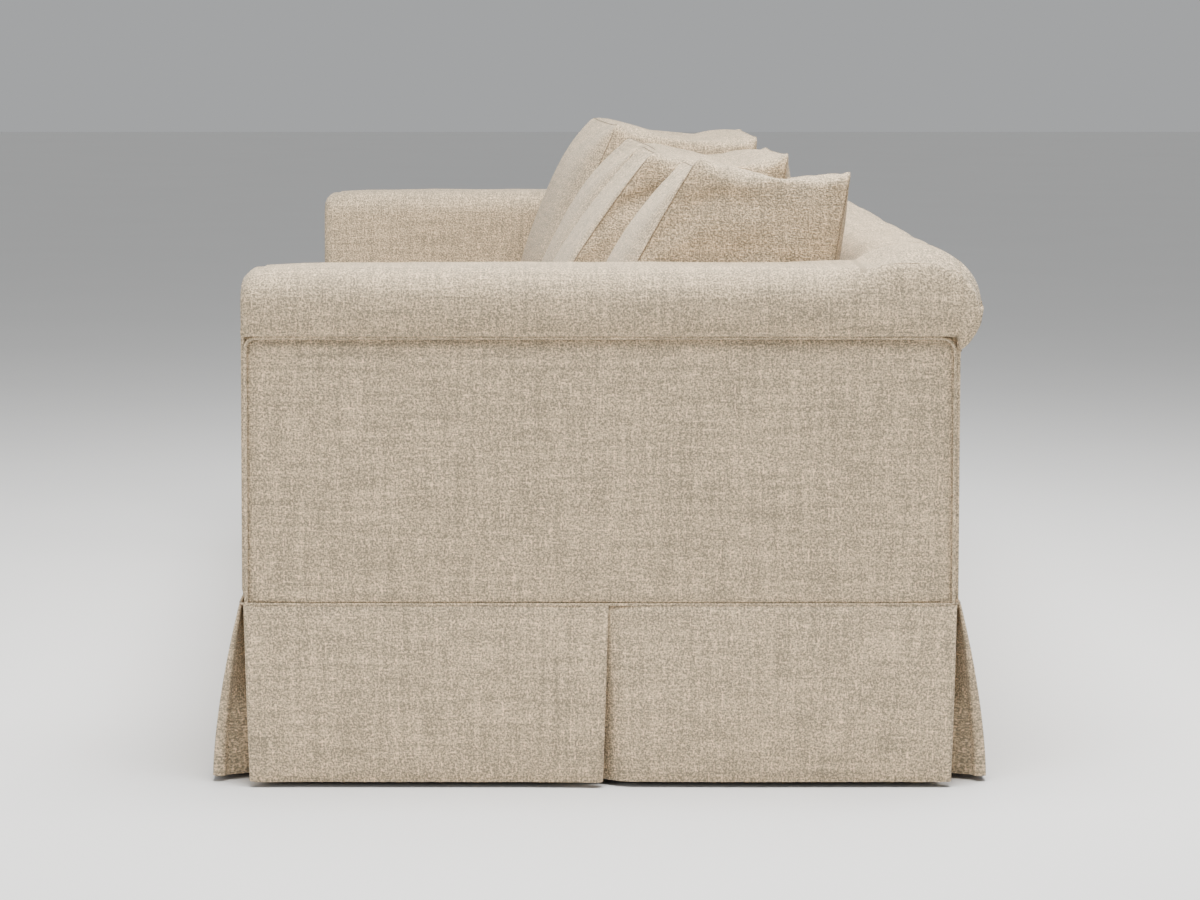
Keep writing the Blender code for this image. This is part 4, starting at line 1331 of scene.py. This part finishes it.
class SOFA_OT_seat_cushions(bpy.types.Operator):
    """Sew and fill the seat cushions"""
    bl_idname = "sofa.seat_cushions"
    bl_label = "Seat cushions"

    def execute(self, context):
        low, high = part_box("right_seat_cushion_outer")
        half_width = (high.x - low.x) / 2
        front, back = low.y + SEAT_FRONT_ROOM, high.y
        half_depth = (back - front) / 2
        places, faces, sides, points, loops = seat_cover(half_width, half_depth, SEAT_BOXING)
        pattern = cushion_object("seat_cover", faces, sides, points)
        filled = fill_cushion(pattern, points, loops, places, 2, SEAT_SIDE_PUSH, sizes().seat_swell)
        bpy.data.objects.remove(pattern)
        filled[:, 0] = np.clip(filled[:, 0], -half_width - SLOT_PLAY, half_width + SLOT_PLAY)
        filled[:, 1] = np.clip(filled[:, 1], -half_depth - SEAT_BULGE, half_depth + 0.001)
        filled[:, 2] = np.clip(filled[:, 2], 0.0003, None)
        tall = high.z - low.z
        over = filled[:, 2] - tall
        eased = tall - SEAT_EASE + SEAT_EASE * np.tanh((over + SEAT_EASE) / SEAT_EASE_RUN)
        filled[:, 2] = np.where(over > -SEAT_EASE, eased, filled[:, 2])
        for section in SIDES:
            for slot in SLOTS:
                node = f"{section}_seat_cushion_{slot}"
                box_low, box_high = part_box(node)
                turned = filled.copy()
                if (slot == "inner") == (section == "left"):
                    turned[:, 0] *= -1
                turned += np.array([(box_low.x + box_high.x) / 2, (front + back) / 2, box_low.z])
                obj = cushion_object(f"{section}_{slot}_seat", faces, sides, turned)
                finish_cushion(obj, turned, loops, node, node)
        return {"FINISHED"}


def round_corner(a, v, wide, tall):
    """Place (a from -1 to 1, v from 0 to 1) on a panel whose upper corners are rounded."""
    da, dv = (abs(a) - 1 + wide) / wide, (v - 1 + tall) / tall
    if da <= 0 or dv <= 0:
        return a, v
    pull = max(da, dv) / math.hypot(da, dv)
    return math.copysign(1 - wide + wide * da * pull, a), 1 - tall + tall * dv * pull


def back_cover(section, slot):
    """Boxed back cushion: thick foot, leaning rear, full front, sagging top edges."""
    (forward, top, base, full, front_height, rear_height,
     droop, crest, splay, shoulder) = STANCE[(section, slot)]
    turn = SIDES[section]
    node = f"{section}_back_cushion_{slot}"
    low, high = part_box(node)
    foot = low.z
    half_width = (SLOT_WIDTH - SLOT_GAP) / 2
    rear = back_inner(foot) - REST_GAP - forward
    middle = (low.x + high.x) / 2
    cell = sizes().cell
    counts = [round(2 * half_width / cell), CUSHION_DEPTH_CELLS, round(front_height / cell)]
    places, faces, sides = lattice_box(counts, CELL_SPREAD)
    points = []
    for a, b, c in places:
        share = (b + 1) / 2
        a, v = round_corner(a, (c + 1) / 2, CUSHION_CORNER / half_width, CUSHION_CORNER / front_height)
        crown = (1 - a ** 4) ** 0.6
        height = between(front_height, rear_height, share)
        y = v * height * BACK_LEAN - (base - (base - top) * v ** 1.4) * (1 - share)
        y -= splay * (1 + a * turn) / 2 * (1 - share)
        z = v * height
        arch = (1 - abs(2 * v - 1) ** 5) ** 0.5 if 0 < v < 1 else 0.0
        rounded = shoulder * (1 - a * a) * v ** 3
        if b <= -END:
            rounded *= 1 - math.sqrt(max(0.0, 1 - v ** 6))
            y -= full * crown * arch
        elif b >= END:
            y += 0.8 * forward * crown * math.sin(math.pi * v)
        between_corners = 4 * share * (1 - share)
        y += rounded * (1 - share)
        z -= 0.35 * rounded * (1 - share) + TOP_SAG * between_corners * v ** 3
        z += (crest * (1 - a ** 4) - 0.004 * (1 - a * a) * between_corners) * v ** 3
        z -= droop * (1 - a * turn) / 2 * v ** 3
        waist = WAIST * math.sin(math.pi * v) + 0.004 * between_corners * arch
        x = a * (half_width - waist)
        points.append((middle + x, rear + y, foot + z))
    loops = [loop_on(places, 1, end) for end in (-1.0, 1.0)]
    return node, places, faces, sides, np.array(points), loops, (middle, half_width, foot)


class SOFA_OT_back_cushions(bpy.types.Operator):
    """Sew and fill the back cushions"""
    bl_idname = "sofa.back_cushions"
    bl_label = "Back cushions"

    def execute(self, context):
        for section in SIDES:
            for slot in SLOTS:
                node, places, faces, sides, points, loops, facts = back_cover(section, slot)
                middle, half_width, foot = facts
                obj = cushion_object(f"{section}_{slot}_back_cushion", faces, sides, points)
                filled = fill_cushion(obj, points, loops, places, 1, BACK_SIDE_PUSH, sizes().back_swell)
                reach = half_width + SLOT_PLAY
                filled[:, 0] = np.clip(filled[:, 0], middle - reach, middle + reach)
                filled[:, 2] = np.clip(filled[:, 2], foot + 0.0006, None)
                over = np.clip((filled[:, 2] - BACK_TOP + BACK_CURVE) / BACK_CURVE, 0.0, None)
                wall = back_inner(0.0) + filled[:, 2] * BACK_LEAN + 0.06 * over ** 3 - 0.0015
                filled[:, 1] = np.minimum(filled[:, 1], wall)
                finish_cushion(obj, filled, loops, node, node)
        return {"FINISHED"}


# Frame, legs, springs and connectors

class SOFA_OT_frame_finishes(bpy.types.Operator):
    """Give the timber, the legs and the steel their finishes"""
    bl_idname = "sofa.frame_finishes"
    bl_label = "Frame finishes"

    def execute(self, context):
        wanted = {"timber": "sawn_timber", "leg": "stained_leg", "steel": "zinc_steel"}
        for part in frame["record"]["subparts"]:
            finish = wanted.get(part["material_slot"])
            if finish:
                obj = bpy.data.objects[part["node"]]
                obj.data.materials.clear()
                obj.data.materials.append(finish_named(finish))
        return {"FINISHED"}


# Stage, with its soft boxes: place, target, size, watts and colour
LIGHTS = {
    "overhead_near": ((1.5, 0.2, 3.0), (1.0, 0.1, 0.5), (2.2, 2.2), 195.0, (1.0, 1.0, 1.0)),
    "overhead_far": ((-0.8, 0.4, 3.2), (-0.3, 0.0, 0.5), (3.0, 2.4), 115.0, (1.0, 1.0, 1.0)),
    "end_key": ((3.9, -2.4, 1.0), (1.2, 0.0, 0.4), (1.0, 1.0), 29.0, (1.0, 0.98, 0.95)),
}
SKY_COLOUR, SKY_STRENGTH = (0.96, 0.98, 1.0, 1.0), 0.45
CAMERA_PLACE = (6.45, -0.121, 1.054)
CAMERA_DOWN = 4.11
CAMERA_LENS, CAMERA_SENSOR = 113.45, 36.0
CAMERA_SHIFT = (0.0726, -0.130)


def add_light(name, place, target, size, power, colour):
    data = bpy.data.lights.new(name, "AREA")
    data.shape, data.size, data.size_y = "RECTANGLE", size[0], size[1]
    data.energy, data.color = power, colour
    light = bpy.data.objects.new(name, data)
    bpy.context.scene.collection.objects.link(light)
    light.location = place
    light.rotation_euler = (Vector(target) - Vector(place)).to_track_quat("-Z", "Y").to_euler()


class SOFA_OT_stage(bpy.types.Operator):
    """Set up the floor, the soft lights and the camera"""
    bl_idname = "sofa.stage"
    bl_label = "Stage"

    def execute(self, context):
        scene = bpy.context.scene
        bpy.ops.object.select_all(action="DESELECT")
        bpy.ops.mesh.primitive_plane_add(size=60.0, location=(0.0, 0.0, 0.0))
        floor = bpy.context.object
        floor.name = "floor"
        f = Finish("pale_floor", Roughness=0.8, Specular_IOR_Level=0.2)
        cloud = f.grain(f.object_place(), (1.5, 1.5, 1.5), 3.0, "3D")
        c = colours().floor
        f.feed("Base Color", f.mix(cloud, rgba(c, 0.98), rgba(c, 1.02)))
        floor.data.materials.append(f.material)

        world = bpy.data.worlds.new("studio")
        scene.world = world
        world.use_nodes = True
        sky = world.node_tree.nodes["Background"]
        sky.inputs["Color"].default_value = SKY_COLOUR
        sky.inputs["Strength"].default_value = SKY_STRENGTH
        for name, facts in LIGHTS.items():
            add_light(name, *facts)

        data = bpy.data.cameras.new("camera")
        camera = bpy.data.objects.new("camera", data)
        scene.collection.objects.link(camera)
        data.sensor_width = CAMERA_SENSOR
        data.lens = CAMERA_LENS
        data.shift_x, data.shift_y = CAMERA_SHIFT
        data.clip_end = 100.0
        camera.location = CAMERA_PLACE
        camera.rotation_euler = (math.radians(90.0 - CAMERA_DOWN), 0.0, math.radians(90.0))
        scene.camera = camera
        return {"FINISHED"}


STEPS = ("frame_finishes", "borders_and_decks", "arms", "outside_panels", "backs", "skirts",
         "seat_cushions", "back_cushions", "stage")


class SOFA_PT_panel(bpy.types.Panel):
    """Sofa pieces and their settings"""
    bl_idname = "SOFA_PT_panel"
    bl_label = "Sofa"
    bl_space_type = "VIEW_3D"
    bl_region_type = "UI"
    bl_category = "Sofa"

    def draw(self, context):
        for group in (context.scene.sofa_sizes, context.scene.sofa_colours):
            for name in group.__annotations__:
                self.layout.prop(group, name)
        for step in STEPS:
            self.layout.operator(f"sofa.{step}")


CLASSES = (SofaSizes, SofaColours, SOFA_OT_frame_finishes, SOFA_OT_borders_and_decks, SOFA_OT_arms,
           SOFA_OT_outside_panels, SOFA_OT_backs, SOFA_OT_skirts, SOFA_OT_seat_cushions,
           SOFA_OT_back_cushions, SOFA_OT_stage, SOFA_PT_panel)


def register():
    for cls in CLASSES:
        bpy.utils.register_class(cls)
    bpy.types.Scene.sofa_sizes = PointerProperty(type=SofaSizes)
    bpy.types.Scene.sofa_colours = PointerProperty(type=SofaColours)


def unregister():
    del bpy.types.Scene.sofa_sizes, bpy.types.Scene.sofa_colours
    for cls in reversed(CLASSES):
        bpy.utils.unregister_class(cls)


def main():
    register()
    for step in STEPS:
        getattr(bpy.ops.sofa, step)()


if __name__ == "__main__":
    main()
